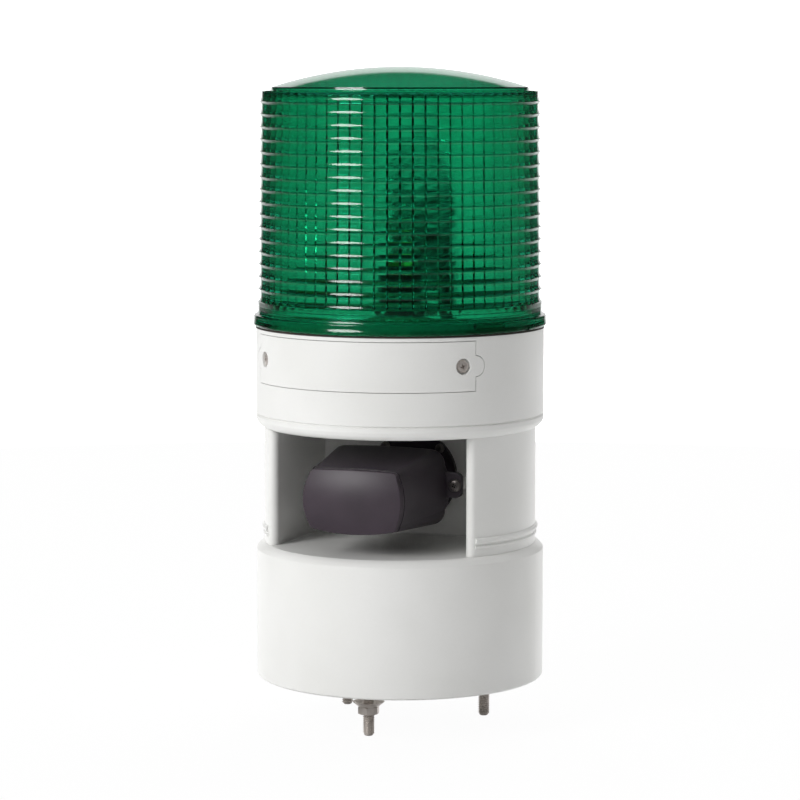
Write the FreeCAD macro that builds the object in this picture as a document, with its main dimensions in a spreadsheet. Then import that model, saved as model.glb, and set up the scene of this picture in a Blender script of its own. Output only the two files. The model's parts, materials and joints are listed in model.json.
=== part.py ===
# Warning light with horn: a turning mirror under a ribbed lens, over a folded horn and a stud-fixed base.
# Millimetres. The origin is the centre of the mounting face, +Z is up and the horn looks along -Y.
import FreeCAD, Part
import math
import os
import Sketcher

Vector = FreeCAD.Vector
Rotation = FreeCAD.Rotation

# Driving dimensions, written to the sheet below
sizes = {
    # common
    "wall": 2.5,
    "fit_gap": 0.2,
    "running_gap": 0.3,
    "thread_gap": 0.05,
    "press_gap": 0.01,
    "glue_gap": 0.02,
    "pilot_radius": 1.6,
    "through_radius": 2.2,
    "screw_radius": 1.5,
    "screw_head_radius": 3.3,
    "screw_head_height": 2.0,
    "small_head_radius": 2.5,
    "screw_grip": 9,
    # base
    "base_radius": 75,
    "base_height": 67.1,
    "shoulder_rise": 3.4,
    "shoulder_inset": 4,
    "shoulder_bow_in": 1.7,
    "shoulder_bow_up": 2.0,
    "rim_break": 0.8,
    "plate_thickness": 4,
    "post_inset": 10.5,
    "post_radius": 5,
    "wire_hole_radius": 9,
    "wire_hole_back": 46,
    # studs and their nut
    "stud_circle": 45,
    "stud_radius": 3,
    "stud_neck_radius": 3.5,
    "stud_free_length": 10.5,
    "stud_reach": 25,
    "stud_tip": 0.8,
    "stud_head_radius": 6.5,
    "stud_head_height": 2.5,
    "washer_drop": 7.3,
    "washer_height": 2.4,
    "washer_top_radius": 8.2,
    "washer_foot_radius": 5.5,
    "washer_plate": 1,
    "nut_across_flats": 10,
    "nut_height": 4,
    # cable entry
    "cable_radius": 5,
    "grommet_neck_radius": 10.8,
    "grommet_flange_radius": 14,
    "grommet_flange_height": 2.5,
    # power supply
    "board_thickness": 1.6,
    "power_board_length": 84,
    "power_board_width": 56,
    "power_board_lift": 12,
    "spacer_radius": 3.5,
    "board_hole_x": 23,
    "board_hole_y": 22,
    "core_length": 44,
    "core_depth": 20,
    "core_height": 36,
    "core_limb": 7,
    "core_shift": 14,
    "winding_overhang": 7,
    "terminal_length": 22,
    "terminal_width": 24,
    "terminal_height": 12,
    "terminal_shift": 27,
    "terminal_pitch": 5.5,
    # horn housing
    "pocket_roof": 7,
    "horn_inset": 4.2,
    "bead_lift": 4.1,
    "low_bead_height": 1.5,
    "low_bead_stand": 0.75,
    "bead_gap": 0.9,
    "bead_height": 3.1,
    "bead_stand": 1.3,
    "rim_lip": 2.9,
    "rim_bulge": 0.5,
    "ledge_width": 16.5,
    "pocket_half_width": 51.5,
    "pocket_back": 22,
    "pocket_height": 58,
    "pocket_edge_radius": 3,
    "tie_inset": 11,
    "tie_boss_radius": 4,
    "tie_boss_height": 12,
    # horn reflector cup and its cap
    "horn_drop": 2.5,
    "cup_front": 63,
    "cup_rear": 17.5,
    "cup_wall": 2.2,
    "cup_front_half_width": 24.1,
    "cup_front_half_height": 15.4,
    "cup_front_corner": 3,
    "cup_rear_half_width": 31.6,
    "cup_rear_half_height": 19.6,
    "cup_rear_corner": 8,
    "cup_rear_lift": 2,
    "cup_side_bow": 2.6,
    "cup_top_bow": 0.6,
    "cup_foot_bow": 1.8,
    "cap_inset": 0.25,
    "cap_reach": 8.7,
    "cap_crown_radius": 110,
    "cap_spigot": 3,
    "ear_stand": 6.6,
    "ear_lift": 3.8,
    "ear_radius": 3.3,
    "ear_half_height": 6.5,
    "ear_relief": 0.6,
    "ear_relief_length": 22,
    "ear_thickness": 3,
    "ear_post_radius": 3.3,
    # horn driver
    "throat_radius": 7,
    "pipe_mouth_radius": 9,
    "pipe_wall": 2.2,
    "pipe_root": 3.5,
    "pipe_reach": 46,
    "pipe_flange": 3,
    "driver_radius": 24,
    "driver_screw_inset": 2.4,
    "diaphragm_inset": 2.6,
    "diaphragm_thickness": 0.8,
    "diaphragm_rise": 3,
    "cone_radius": 12.9,
    "frame_depth": 5,
    "frame_lip": 2,
    "top_plate_thickness": 4,
    "magnet_thickness": 12,
    "magnet_opening": 14,
    "yoke_thickness": 5,
    "pole_radius": 9.4,
    "coil_gap": 0.6,
    "coil_thickness": 0.8,
    "coil_length": 8,
    # upper housing
    "cover_rim": 2.2,
    "collar_inset": 7.5,
    "collar_wall": 2.5,
    "collar_height": 7.4,
    "housing_screw_inset": 7,
    "pillar_height": 14,
    "pillar_rib": 4,
    # access cover
    "cover_lift": 17.4,
    "cover_height": 25,
    "cover_half_angle": 51.3,
    "cover_thickness": 3.2,
    "cover_gap": 0.25,
    "cover_gap_angle": 0.2,
    "cover_frame_angle": 6,
    "bump_reach_angle": 20,
    "cover_bump_radius": 5.2,
    "cover_screw_angle": 46,
    "cover_bore_radius": 4,
    "cover_seat": 0.8,
    "cover_boss_length": 8,
    "cover_boss_radius": 4.5,
    "window_margin": 4,
    "window_half_angle": 40,
    # controls behind the cover
    "control_inset": 20,
    "control_board_half_width": 30,
    "control_board_height": 22,
    "control_post_inner": 20,
    "control_post_width": 7,
    "control_post_depth": 6,
    "control_screw_length": 5.2,
    "dial_shift": 10,
    "pot_side": 10,
    "pot_depth": 5,
    "dial_radius": 4.5,
    "dial_length": 4.8,
    "dial_shaft_radius": 1.5,
    "dial_shaft_length": 3.5,
    "switch_shift": 10,
    "switch_length": 12,
    "switch_height": 6,
    "switch_depth": 4,
    "switch_slot_length": 8,
    "switch_slot_height": 3,
    "switch_slot_depth": 3,
    "slider_length": 4,
    "slider_stand": 2.4,
    # lens and gasket
    "gasket_thickness": 1,
    "gasket_width": 4.4,
    "gasket_stand": 0.2,
    "lens_seat_gap": 0.05,
    "flange_stand": 1.2,
    "flange_height": 5.8,
    "flange_edge": 0.5,
    "skirt_inset": 4.8,
    "skirt_height": 8,
    "lens_inset": 1.1,
    "lens_plain_height": 6.6,
    "rib_pitch": 6.7,
    "rib_depth": 2,
    "rib_flare_reach": 1.5,
    "rib_flare_height": 1.8,
    "rib_shoulder": 1,
    "rib_step_in": 0.09,
    "lens_wall": 2.6,
    "lens_rim_width": 4.5,
    "lens_rim_height": 1.15,
    "gate_radius": 1.5,
    "dome_edge_inset": 0.36,
    "dome_edge_rise": 2.1,
    "dome_rise": 10.5,
    "dome_wall": 2.5,
    "lug_width_angle": 14,
    "lug_reach": 2.2,
    "lug_height": 2,
    "lug_lift": 1.9,
    "ledge_width_angle": 20,
    # lamp deck and lamp
    "deck_thickness": 2,
    "deck_screw_inset": 4.8,
    "deck_boss_length": 10,
    "holder_radius": 11,
    "holder_height": 29.4,
    "holder_socket_depth": 14,
    "bulb_cap_radius": 7.5,
    "bulb_cap_length": 19,
    "bulb_radius": 13,
    "bulb_height": 34,
    # rotor
    "bush_wall": 2.7,
    "bush_flange_radius": 18,
    "bush_flange_height": 3.3,
    "hub_height": 8.1,
    "hub_wall": 3,
    "shaft_gap": 0.06,
    "ring_height": 1,
    "ring_bite": 1,
    "ring_reach": 2.2,
    "motor_clearance": 0.5,
    "gear_width": 5,
    "tooth_backlash": 0.3,
    "reflector_angle": 46,
    "reflector_lift": 55.4,
    "focal_length": 26,
    "reflector_radius": 42,
    "reflector_thickness": 1.2,
    "reflector_cut": 37,
    "bracket_thickness": 1.5,
    "bracket_width": 14,
    "bracket_gap": 0.84,
    "rivet_radius": 1.4,
    "rivet_head_radius": 3,
    "rivet_head_height": 1.1,
    # drive motor
    "motor_angle": 200,
    "motor_radius": 10.5,
    "motor_length": 32,
    "motor_shaft_radius": 1.5,
    "motor_shaft_depth": 17,
    "motor_shaft_stand": 1,
    "motor_screw_spread": 7,
    "motor_screw_radius": 1.2,
    "motor_screw_head_radius": 2.3,
    "motor_screw_head_height": 1.6,
    "motor_screw_grip": 5,
}
gear_teeth = 48
pinion_teeth = 12
pressure_angle = math.radians(25)
dedendum = 1.25
# a pan head's rim height and flat top, as shares of its height and radius
head_edge = 0.55
head_flat = 0.6
rib_count = 16
stud_angles = (-90, 30, 150)
post_angles = (-30, 90, 210)
tie_angles = (-10, 45, 135, 190)
deck_angles = (45, 135, 225, 315)
lug_angles = (90, 210, 330)
driver_angles = (45, 135, 225, 315)

# Sizes that follow from others, written to the sheet as formulas
followers = {
    "post_circle": "base_radius - wall - post_inset",
    "horn_radius": "base_radius - horn_inset",
    "low_bead_radius": "horn_radius + low_bead_stand",
    "bead_radius": "horn_radius + bead_stand",
    "horn_height": "wall + pocket_height + pocket_roof",
    "horn_level": "base_height + shoulder_rise + wall + pocket_height / 2 - horn_drop",
    "ledge_radius": "base_radius - wall - ledge_width",
    "tie_circle": "base_radius - wall - tie_inset",
    "ear_spread": "cup_rear_half_width + ear_stand",
    "driver_screw_circle": "driver_radius - driver_screw_inset",
    "diaphragm_radius": "driver_screw_circle - diaphragm_inset",
    "frame_opening": "diaphragm_radius - frame_lip",
    "band_height": "cover_lift + cover_height + cover_rim",
    "housing_screw_circle": "base_radius - wall - housing_screw_inset",
    "control_board_back": "base_radius - control_inset",
    "gear_centres": "ledge_radius - motor_radius - motor_clearance",
    "gear_module": f"gear_centres / {(gear_teeth + pinion_teeth) / 2}",
    "collar_radius": "base_radius - collar_inset",
    "deck_radius": "collar_radius - collar_wall - fit_gap",
    "deck_screw_circle": "deck_radius - deck_screw_inset",
    "gasket_outer_radius": "base_radius + gasket_stand",
    "gasket_inner_radius": "gasket_outer_radius - gasket_width",
    "flange_radius": "base_radius + flange_stand",
    "skirt_radius": "base_radius - skirt_inset",
    "lens_radius": "base_radius - lens_inset",
    "lens_rim_radius": f"lens_radius - {rib_count} * rib_step_in - rib_depth / 2",
    "dome_edge_radius": "lens_rim_radius - lens_rim_width - dome_edge_inset",
    "deck_seat": "base_height + shoulder_rise + horn_height + band_height",
    "reflector_level": "deck_seat + deck_thickness + reflector_lift",
    "reflector_foot_level": "reflector_level - reflector_cut",
}

doc = FreeCAD.newDocument("warning_light_with_horn")
sheet = doc.addObject("Spreadsheet::Sheet", "dim")
cells = list(sizes.items()) + [(name, "=" + formula) for name, formula in followers.items()]
for row, (name, value) in enumerate(cells, start=1):
    sheet.set(f"A{row}", name)
    sheet.setAlias(f"B{row}", name)
for row, (name, value) in enumerate(cells, start=1):
    sheet.set(f"B{row}", str(value))
doc.recompute()

# Levels that several pieces share
shoulder_top = "(dim.base_height + dim.shoulder_rise)"
base_bore = "(dim.base_radius - dim.wall)"
horn_floor = f"({shoulder_top} + dim.wall)"
horn_ceiling = f"({horn_floor} + dim.pocket_height)"
horn_bore = "(dim.horn_radius - dim.wall)"
horn_top = f"({shoulder_top} + dim.horn_height)"
ledge_under = f"({horn_top} - dim.wall)"
driver_face = "(dim.pocket_back + dim.wall)"
driver_level = "(dim.horn_level + dim.cup_rear_lift)"
ear_level = "(dim.horn_level + dim.ear_lift)"
band_top = f"({horn_top} + dim.band_height)"
ring_under = f"({band_top} - dim.wall)"
cover_low = f"({horn_top} + dim.cover_lift)"
cover_high = f"({cover_low} + dim.cover_height)"
cover_middle = f"({cover_low} + dim.cover_height / 2)"
cover_back = "(dim.base_radius - dim.cover_thickness)"
frame_face = "(dim.base_radius - dim.cover_thickness - dim.fit_gap)"
collar_top = f"({band_top} + dim.collar_height)"
lens_foot = f"({band_top} + dim.gasket_thickness + dim.lens_seat_gap)"
deck_top = f"({band_top} + dim.deck_thickness)"
bush_bore = "(dim.holder_radius + dim.running_gap)"
bush_radius = f"({bush_bore} + dim.bush_wall)"
gear_low = f"({deck_top} + dim.bush_flange_height + 2 * dim.shaft_gap)"
gear_top = f"({gear_low} + dim.gear_width)"
hub_top = f"({gear_low} + dim.hub_height)"
motor_x = "(dim.gear_centres * cos(dim.motor_angle))"
motor_y = "(dim.gear_centres * sin(dim.motor_angle))"
board_face = "(dim.control_board_back + dim.board_thickness)"


def number(expression):
    value = sheet.evalExpression(str(expression))
    return float(getattr(value, "Value", value))


def bind(item, prop, expression):
    item.setExpression(prop, str(expression))


def place(item, x="0", y="0", z="0", turn=None):
    for axis, expression in (("x", x), ("y", y), ("z", z)):
        bind(item, f"Placement.Base.{axis}", expression)
    if turn is not None:
        bind(item, "Placement.Rotation.Angle", turn)
    return item


# Outlines: each corner is tied to the sheet, and a bowed side passes through one more tied point
def tie_point(constraints, links, geometry, position, x, y):
    for kind, axis, expression in (("DistanceX", -2, x), ("DistanceY", -1, y)):
        if str(expression) == "0":
            constraints.append(Sketcher.Constraint("PointOnObject", geometry, position, axis))
        else:
            links[len(constraints)] = str(expression)
            constraints.append(Sketcher.Constraint(kind, -1, 1, geometry, position, number(expression)))


def outline(sketch, corners, bows=None):
    bows = bows or {}
    spots = [Vector(number(x), number(y), 0) for x, y in corners]
    count = len(spots)
    constraints, links = [], {}
    ends = []
    for side in range(count):
        start, end = spots[side], spots[(side + 1) % count]
        if side in bows:
            middle = Vector(number(bows[side][0]), number(bows[side][1]), 0)
            leftward = (middle - start).cross(end - middle).z > 0
            first, last = (start, end) if leftward else (end, start)
            sketch.addGeometry(Part.Arc(first, middle, last), False)
            ends.append((1, 2) if leftward else (2, 1))
        else:
            sketch.addGeometry(Part.LineSegment(start, end), False)
            ends.append((1, 2))
    for side in range(count):
        following = (side + 1) % count
        constraints.append(Sketcher.Constraint("Coincident", side, ends[side][1], following,
                                               ends[following][0]))
        tie_point(constraints, links, side, ends[side][0], *corners[side])
    for side, through in bows.items():
        mark = sketch.addGeometry(Part.Point(Vector(number(through[0]), number(through[1]), 0)), True)
        tie_point(constraints, links, mark, 1, *through)
        constraints.append(Sketcher.Constraint("PointOnObject", mark, 1, side))
    sketch.addConstraint(constraints)
    for index, expression in links.items():
        sketch.setExpression(f"Constraints[{index}]", expression)


def new_body(name):
    return doc.addObject("PartDesign::Body", name)


def new_sketch(body, plane, offset=None):
    sketch = body.newObject("Sketcher::SketchObject", body.Name + "_sketch")
    origin_plane = next(item for item in body.Origin.OriginFeatures if item.Role == plane)
    sketch.AttachmentSupport = (origin_plane, [""])
    sketch.MapMode = "FlatFace"
    if offset is not None:
        sketch.setExpression("AttachmentOffset.Base.z", offset)
    return sketch


# A turned form: upright ones are drawn as (radius, height), lying ones as (y, radius) or (x, radius)
def turned(name, corners, bows=None, plane="XZ_Plane", axis="V_Axis", sweep=None):
    body = new_body(name)
    sketch = new_sketch(body, plane)
    outline(sketch, corners, bows)
    feature = body.newObject("PartDesign::Revolution", name + "_turn")
    feature.Profile = sketch
    feature.ReferenceAxis = (sketch, [axis])
    feature.Angle = 360
    if sweep is not None:
        feature.Midplane = True
        bind(feature, "Angle", sweep)
    return body


def sector(name, inner, outer, low, high, sweep, direction):
    corners = ((inner, low), (outer, low), (outer, high), (inner, high))
    return place(turned(name, corners, sweep=sweep), turn=direction)


def lying(name, corners, level, bows=None):
    return place(turned(name, corners, bows, plane="YZ_Plane", axis="H_Axis"), z=level)


def padded(name, corners, length, plane, bows=None):
    body = new_body(name)
    sketch = new_sketch(body, plane)
    outline(sketch, corners, bows)
    feature = body.newObject("PartDesign::Pad", name + "_pad")
    feature.Profile = sketch
    feature.Midplane = True
    bind(feature, "Length", length)
    return body


def box(name, x_span, y_span, z_span):
    solid = doc.addObject("Part::Box", name)
    for size, axis, span in (("Length", "x", x_span), ("Width", "y", y_span), ("Height", "z", z_span)):
        bind(solid, size, f"({span[1]}) - ({span[0]})")
        bind(solid, f"Placement.Base.{axis}", span[0])
    return solid


towards = {
    "up": Rotation(),
    "back": Rotation(Vector(1, 0, 0), -90),
    "front": Rotation(Vector(1, 0, 0), 90),
    "right": Rotation(Vector(0, 1, 0), 90),
}


def rod(name, radius, length, x="0", y="0", z="0", heading="up"):
    solid = doc.addObject("Part::Cylinder", name)
    solid.Placement = FreeCAD.Placement(Vector(), towards[heading])
    bind(solid, "Radius", radius)
    bind(solid, "Height", length)
    return place(solid, x, y, z)


def joined(name, *items):
    fused = doc.addObject("Part::MultiFuse", name)
    fused.Shapes = list(items)
    fused.Refine = True
    return fused


def shared(name, *items):
    common = doc.addObject("Part::MultiCommon", name)
    common.Shapes = list(items)
    return common


def less(name, base, *tools):
    remainder = doc.addObject("Part::Cut", name)
    remainder.Base = base
    remainder.Tool = tools[0] if len(tools) == 1 else joined(name + "_tools", *tools)
    return remainder


# Copies of one form: turned about the vertical axis, set on a circle, or set at listed places
def copy(name, source, x="0", y="0", z="0", turn=None):
    twin = doc.addObject("App::Link", name)
    twin.LinkedObject = source
    twin.LinkTransform = True
    return place(twin, x, y, z, turn)


def spun(source, angles):
    return [copy(f"{source.Name}_{index}", source, turn=angle) for index, angle in enumerate(angles)]


def ringed(source, circle, angles, z="0"):
    spots = [(f"({circle}) * cos({angle})", f"({circle}) * sin({angle})") for angle in angles]
    return [copy(f"{source.Name}_{index}", source, x, y, z) for index, (x, y) in enumerate(spots)]


def grouped(name, items):
    group = doc.addObject("Part::Compound", name)
    group.Links = items
    return group


# Pan-head screw, drawn as (along, radius) from its tip to its crown
def screw_corners(seat, head_radius, head_height, radius, length):
    tip = f"{seat} + {length}"
    edge = f"{seat} - {head_edge} * {head_height}"
    crown = f"{seat} - {head_height}"
    return ((tip, 0), (tip, radius), (seat, radius), (seat, head_radius), (edge, head_radius),
            (crown, f"{head_flat} * {head_radius}"), (crown, 0))


def screw(name, head_radius, head_height, radius, length):
    corners = screw_corners("0", head_radius, head_height, radius, length)
    return turned(name, [(across, along if along == "0" else f"-({along})") for along, across in corners])


def lying_screw(name, seat, head_radius, length, level):
    corners = screw_corners(seat, head_radius, "dim.screw_head_height", "dim.screw_radius", length)
    return lying(name, corners, level)


nodes = {}


def keep(name, item):
    item.Label = name
    nodes[name] = item
    return item


# Base
def base():
    bore, top = base_bore, shoulder_top
    shell = turned(
        "base_shell",
        ((bore, 0), ("dim.base_radius - dim.rim_break", 0), ("dim.base_radius", "dim.rim_break"),
         ("dim.base_radius", "dim.base_height"), ("dim.base_radius - dim.shoulder_inset", top),
         (0, top), (0, f"{top} - dim.wall"), (f"{bore} - dim.shoulder_inset", f"{top} - dim.wall"),
         (bore, "dim.base_height - dim.wall")),
        {3: ("dim.base_radius - dim.shoulder_bow_in", "dim.base_height + dim.shoulder_bow_up")},
    )
    post = rod("base_post", "dim.post_radius", f"{top} - dim.plate_thickness - dim.wall / 2")
    pilot = rod("base_pilot", "dim.pilot_radius", "dim.plate_thickness + dim.screw_grip + dim.wall")
    tie_hole = rod("base_tie_hole", "dim.through_radius", "3 * dim.wall")
    wire_hole = rod("base_wire_hole", "dim.wire_hole_radius", "3 * dim.wall",
                    y="dim.wire_hole_back", z=f"{top} - 2 * dim.wall")
    body = joined("base_body", shell, *ringed(post, "dim.post_circle", post_angles, "dim.plate_thickness"))
    keep("base_cup", less("base_cup", body, wire_hole, *ringed(pilot, "dim.post_circle", post_angles),
                          *ringed(tie_hole, "dim.tie_circle", tie_angles, f"{top} - 2 * dim.wall")))


def base_plate():
    thickness = "dim.plate_thickness"
    disc = rod("plate_disc", f"{base_bore} - dim.fit_gap", thickness)
    stud_hole = rod("plate_stud_hole", "dim.stud_neck_radius + dim.thread_gap", f"3 * {thickness}")
    screw_hole = rod("plate_screw_hole", "dim.through_radius", f"3 * {thickness}")
    head_bore = rod("plate_head_bore", "dim.screw_head_radius + dim.running_gap",
                    "2 * dim.screw_head_height + 2 * dim.fit_gap")
    entry = rod("plate_entry", "dim.grommet_neck_radius + dim.fit_gap", f"3 * {thickness}",
                z=f"-{thickness}")
    keep("base_plate", less(
        "base_plate", disc, entry,
        *ringed(stud_hole, "dim.stud_circle", stud_angles, f"-{thickness}"),
        *ringed(screw_hole, "dim.post_circle", post_angles, f"-{thickness}"),
        *ringed(head_bore, "dim.post_circle", post_angles, "-(dim.screw_head_height + dim.fit_gap)")))
    head_level = "dim.screw_head_height + dim.fit_gap"
    fixing = turned(
        "plate_screw",
        ((0, "dim.fit_gap"), ("dim.screw_head_radius", "dim.fit_gap"),
         ("dim.screw_head_radius", head_level),
         ("dim.screw_radius", head_level), ("dim.screw_radius", f"{thickness} + dim.screw_grip"),
         (0, f"{thickness} + dim.screw_grip")))
    keep("base_plate_screws", grouped("base_plate_screws", ringed(fixing, "dim.post_circle", post_angles)))


def studs():
    seat, radius, reach = "dim.plate_thickness", "dim.stud_radius", "dim.stud_reach"
    head = f"{seat} + dim.stud_head_height"
    stud = turned(
        "stud",
        ((0, f"-{reach}"), (f"{radius} - dim.stud_tip", f"-{reach}"), (radius, f"dim.stud_tip - {reach}"),
         (radius, f"dim.stud_free_length - {reach}"), (radius, 0), ("dim.stud_neck_radius", 0),
         ("dim.stud_neck_radius", seat), ("dim.stud_head_radius", seat), ("dim.stud_head_radius", head),
         (0, head)))
    # the free length below the nut stays a face of its own
    stud.Tip.Refine = False
    keep("mounting_studs", grouped("mounting_studs", ringed(stud, "dim.stud_circle", stud_angles)))
    foot = "-(dim.washer_drop + dim.washer_height)"
    washer_bore = f"{radius} + dim.fit_gap"
    washer = turned(
        "cup_washer",
        ((washer_bore, foot), ("dim.washer_foot_radius", foot),
         ("dim.washer_top_radius", "-dim.washer_drop"),
         ("dim.washer_top_radius - dim.washer_plate", "-dim.washer_drop"),
         ("dim.washer_foot_radius - 0.4 * dim.washer_plate", f"{foot} + dim.washer_plate"),
         (washer_bore, f"{foot} + dim.washer_plate")))
    keep("cup_washer", place(washer, y="-dim.stud_circle"))
    hexagon = doc.addObject("Part::Prism", "nut_hexagon")
    hexagon.Polygon = 6
    bind(hexagon, "Circumradius", "dim.nut_across_flats / 2 / cos(30)")
    bind(hexagon, "Height", "dim.nut_height")
    place(hexagon, y="-dim.stud_circle", z=f"{foot} - dim.nut_height")
    thread = rod("nut_thread", f"{radius} + dim.thread_gap", "3 * dim.nut_height",
                 y="-dim.stud_circle", z=f"{foot} - 2 * dim.nut_height")
    keep("stud_nut", less("stud_nut", hexagon, thread))


def cable_grommet():
    top = "dim.plate_thickness"
    keep("cable_grommet", turned(
        "cable_grommet",
        (("dim.cable_radius", "dim.fit_gap"), ("dim.grommet_neck_radius", "dim.fit_gap"),
         ("dim.grommet_neck_radius", top), ("dim.grommet_flange_radius", top),
         ("dim.grommet_flange_radius", f"{top} + dim.grommet_flange_height"),
         ("dim.cable_radius", f"{top} + dim.grommet_flange_height"))))


def power_supply():
    under = "(dim.plate_thickness + dim.power_board_lift)"
    top = f"({under} + dim.board_thickness)"
    corners = [(f"{x} * dim.board_hole_x", f"{y} * dim.board_hole_y") for x in (-1, 1) for y in (-1, 1)]

    def at_corners(source, level):
        return [copy(f"{source.Name}_{index}", source, x, y, level) for index, (x, y) in enumerate(corners)]

    thread = rod("spacer_thread", "dim.pilot_radius", "2 * dim.power_board_lift")
    spacer = less("spacer", rod("spacer_body", "dim.spacer_radius", "dim.power_board_lift"), thread)
    keep("board_spacers", grouped("board_spacers", at_corners(spacer, "dim.plate_thickness")))
    slab = box("power_slab", ("-dim.power_board_length / 2", "dim.power_board_length / 2"),
               ("-dim.power_board_width / 2", "dim.power_board_width / 2"), (under, top))
    hole = rod("power_board_hole", "dim.pilot_radius", "3 * dim.board_thickness")
    keep("power_board", less("power_board", slab, *at_corners(hole, f"{under} - dim.board_thickness")))
    fixing = screw("board_screw", "dim.small_head_radius", "dim.screw_head_height",
                   "dim.screw_radius", "dim.screw_grip")
    keep("board_screws", grouped("board_screws", at_corners(fixing, top)))

    half, limb = "(dim.core_length / 2)", "dim.core_limb"
    window = (f"({limb})", f"({half} - {limb})")
    yoke_top = f"({top} + dim.core_height)"
    windows = [
        box(f"core_window_{index}", span, ("-dim.core_depth", "dim.core_depth"),
            (f"{top} + {limb}", f"{yoke_top} - {limb}"))
        for index, span in enumerate((window, (f"-{window[1]}", f"-{window[0]}")))
    ]
    block = box("core_block", (f"-{half}", half), ("-dim.core_depth / 2", "dim.core_depth / 2"),
                (top, yoke_top))
    core = keep("transformer_core", less("transformer_core", block, *windows))
    place(core, x="-dim.core_shift")
    gap = "dim.fit_gap"
    span = (f"{top} + {limb} + {gap}", f"{yoke_top} - {limb} - {gap}")
    coil = box("winding_block", (f"{gap} - {window[1]}", f"{window[1]} - {gap}"),
               ("-dim.core_depth / 2 - dim.winding_overhang", "dim.core_depth / 2 + dim.winding_overhang"),
               span)
    eye = box("winding_eye", (f"-{limb} - {gap}", f"{limb} + {gap}"),
              (f"-dim.core_depth / 2 - {gap}", f"dim.core_depth / 2 + {gap}"), (top, yoke_top))
    winding = keep("transformer_winding", less("transformer_winding", coil, eye))
    place(winding, x="-dim.core_shift")

    low = "dim.terminal_shift - dim.terminal_length / 2"
    high = "dim.terminal_shift + dim.terminal_length / 2"
    block = box("terminal_body", (low, high), ("-dim.terminal_width / 2", "dim.terminal_width / 2"),
                (top, f"{top} + dim.terminal_height"))
    entry = rod("terminal_entry", "0.3 * dim.terminal_pitch", "0.5 * dim.terminal_length",
                x=f"{high} - 0.4 * dim.terminal_length", z=f"{top} + dim.terminal_height / 2",
                heading="right")
    entries = [
        copy(f"terminal_entry_{row}", entry, y=f"{row - 1.5} * dim.terminal_pitch") for row in range(4)
    ]
    keep("terminal_block", less("terminal_block", block, *entries))


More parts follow.
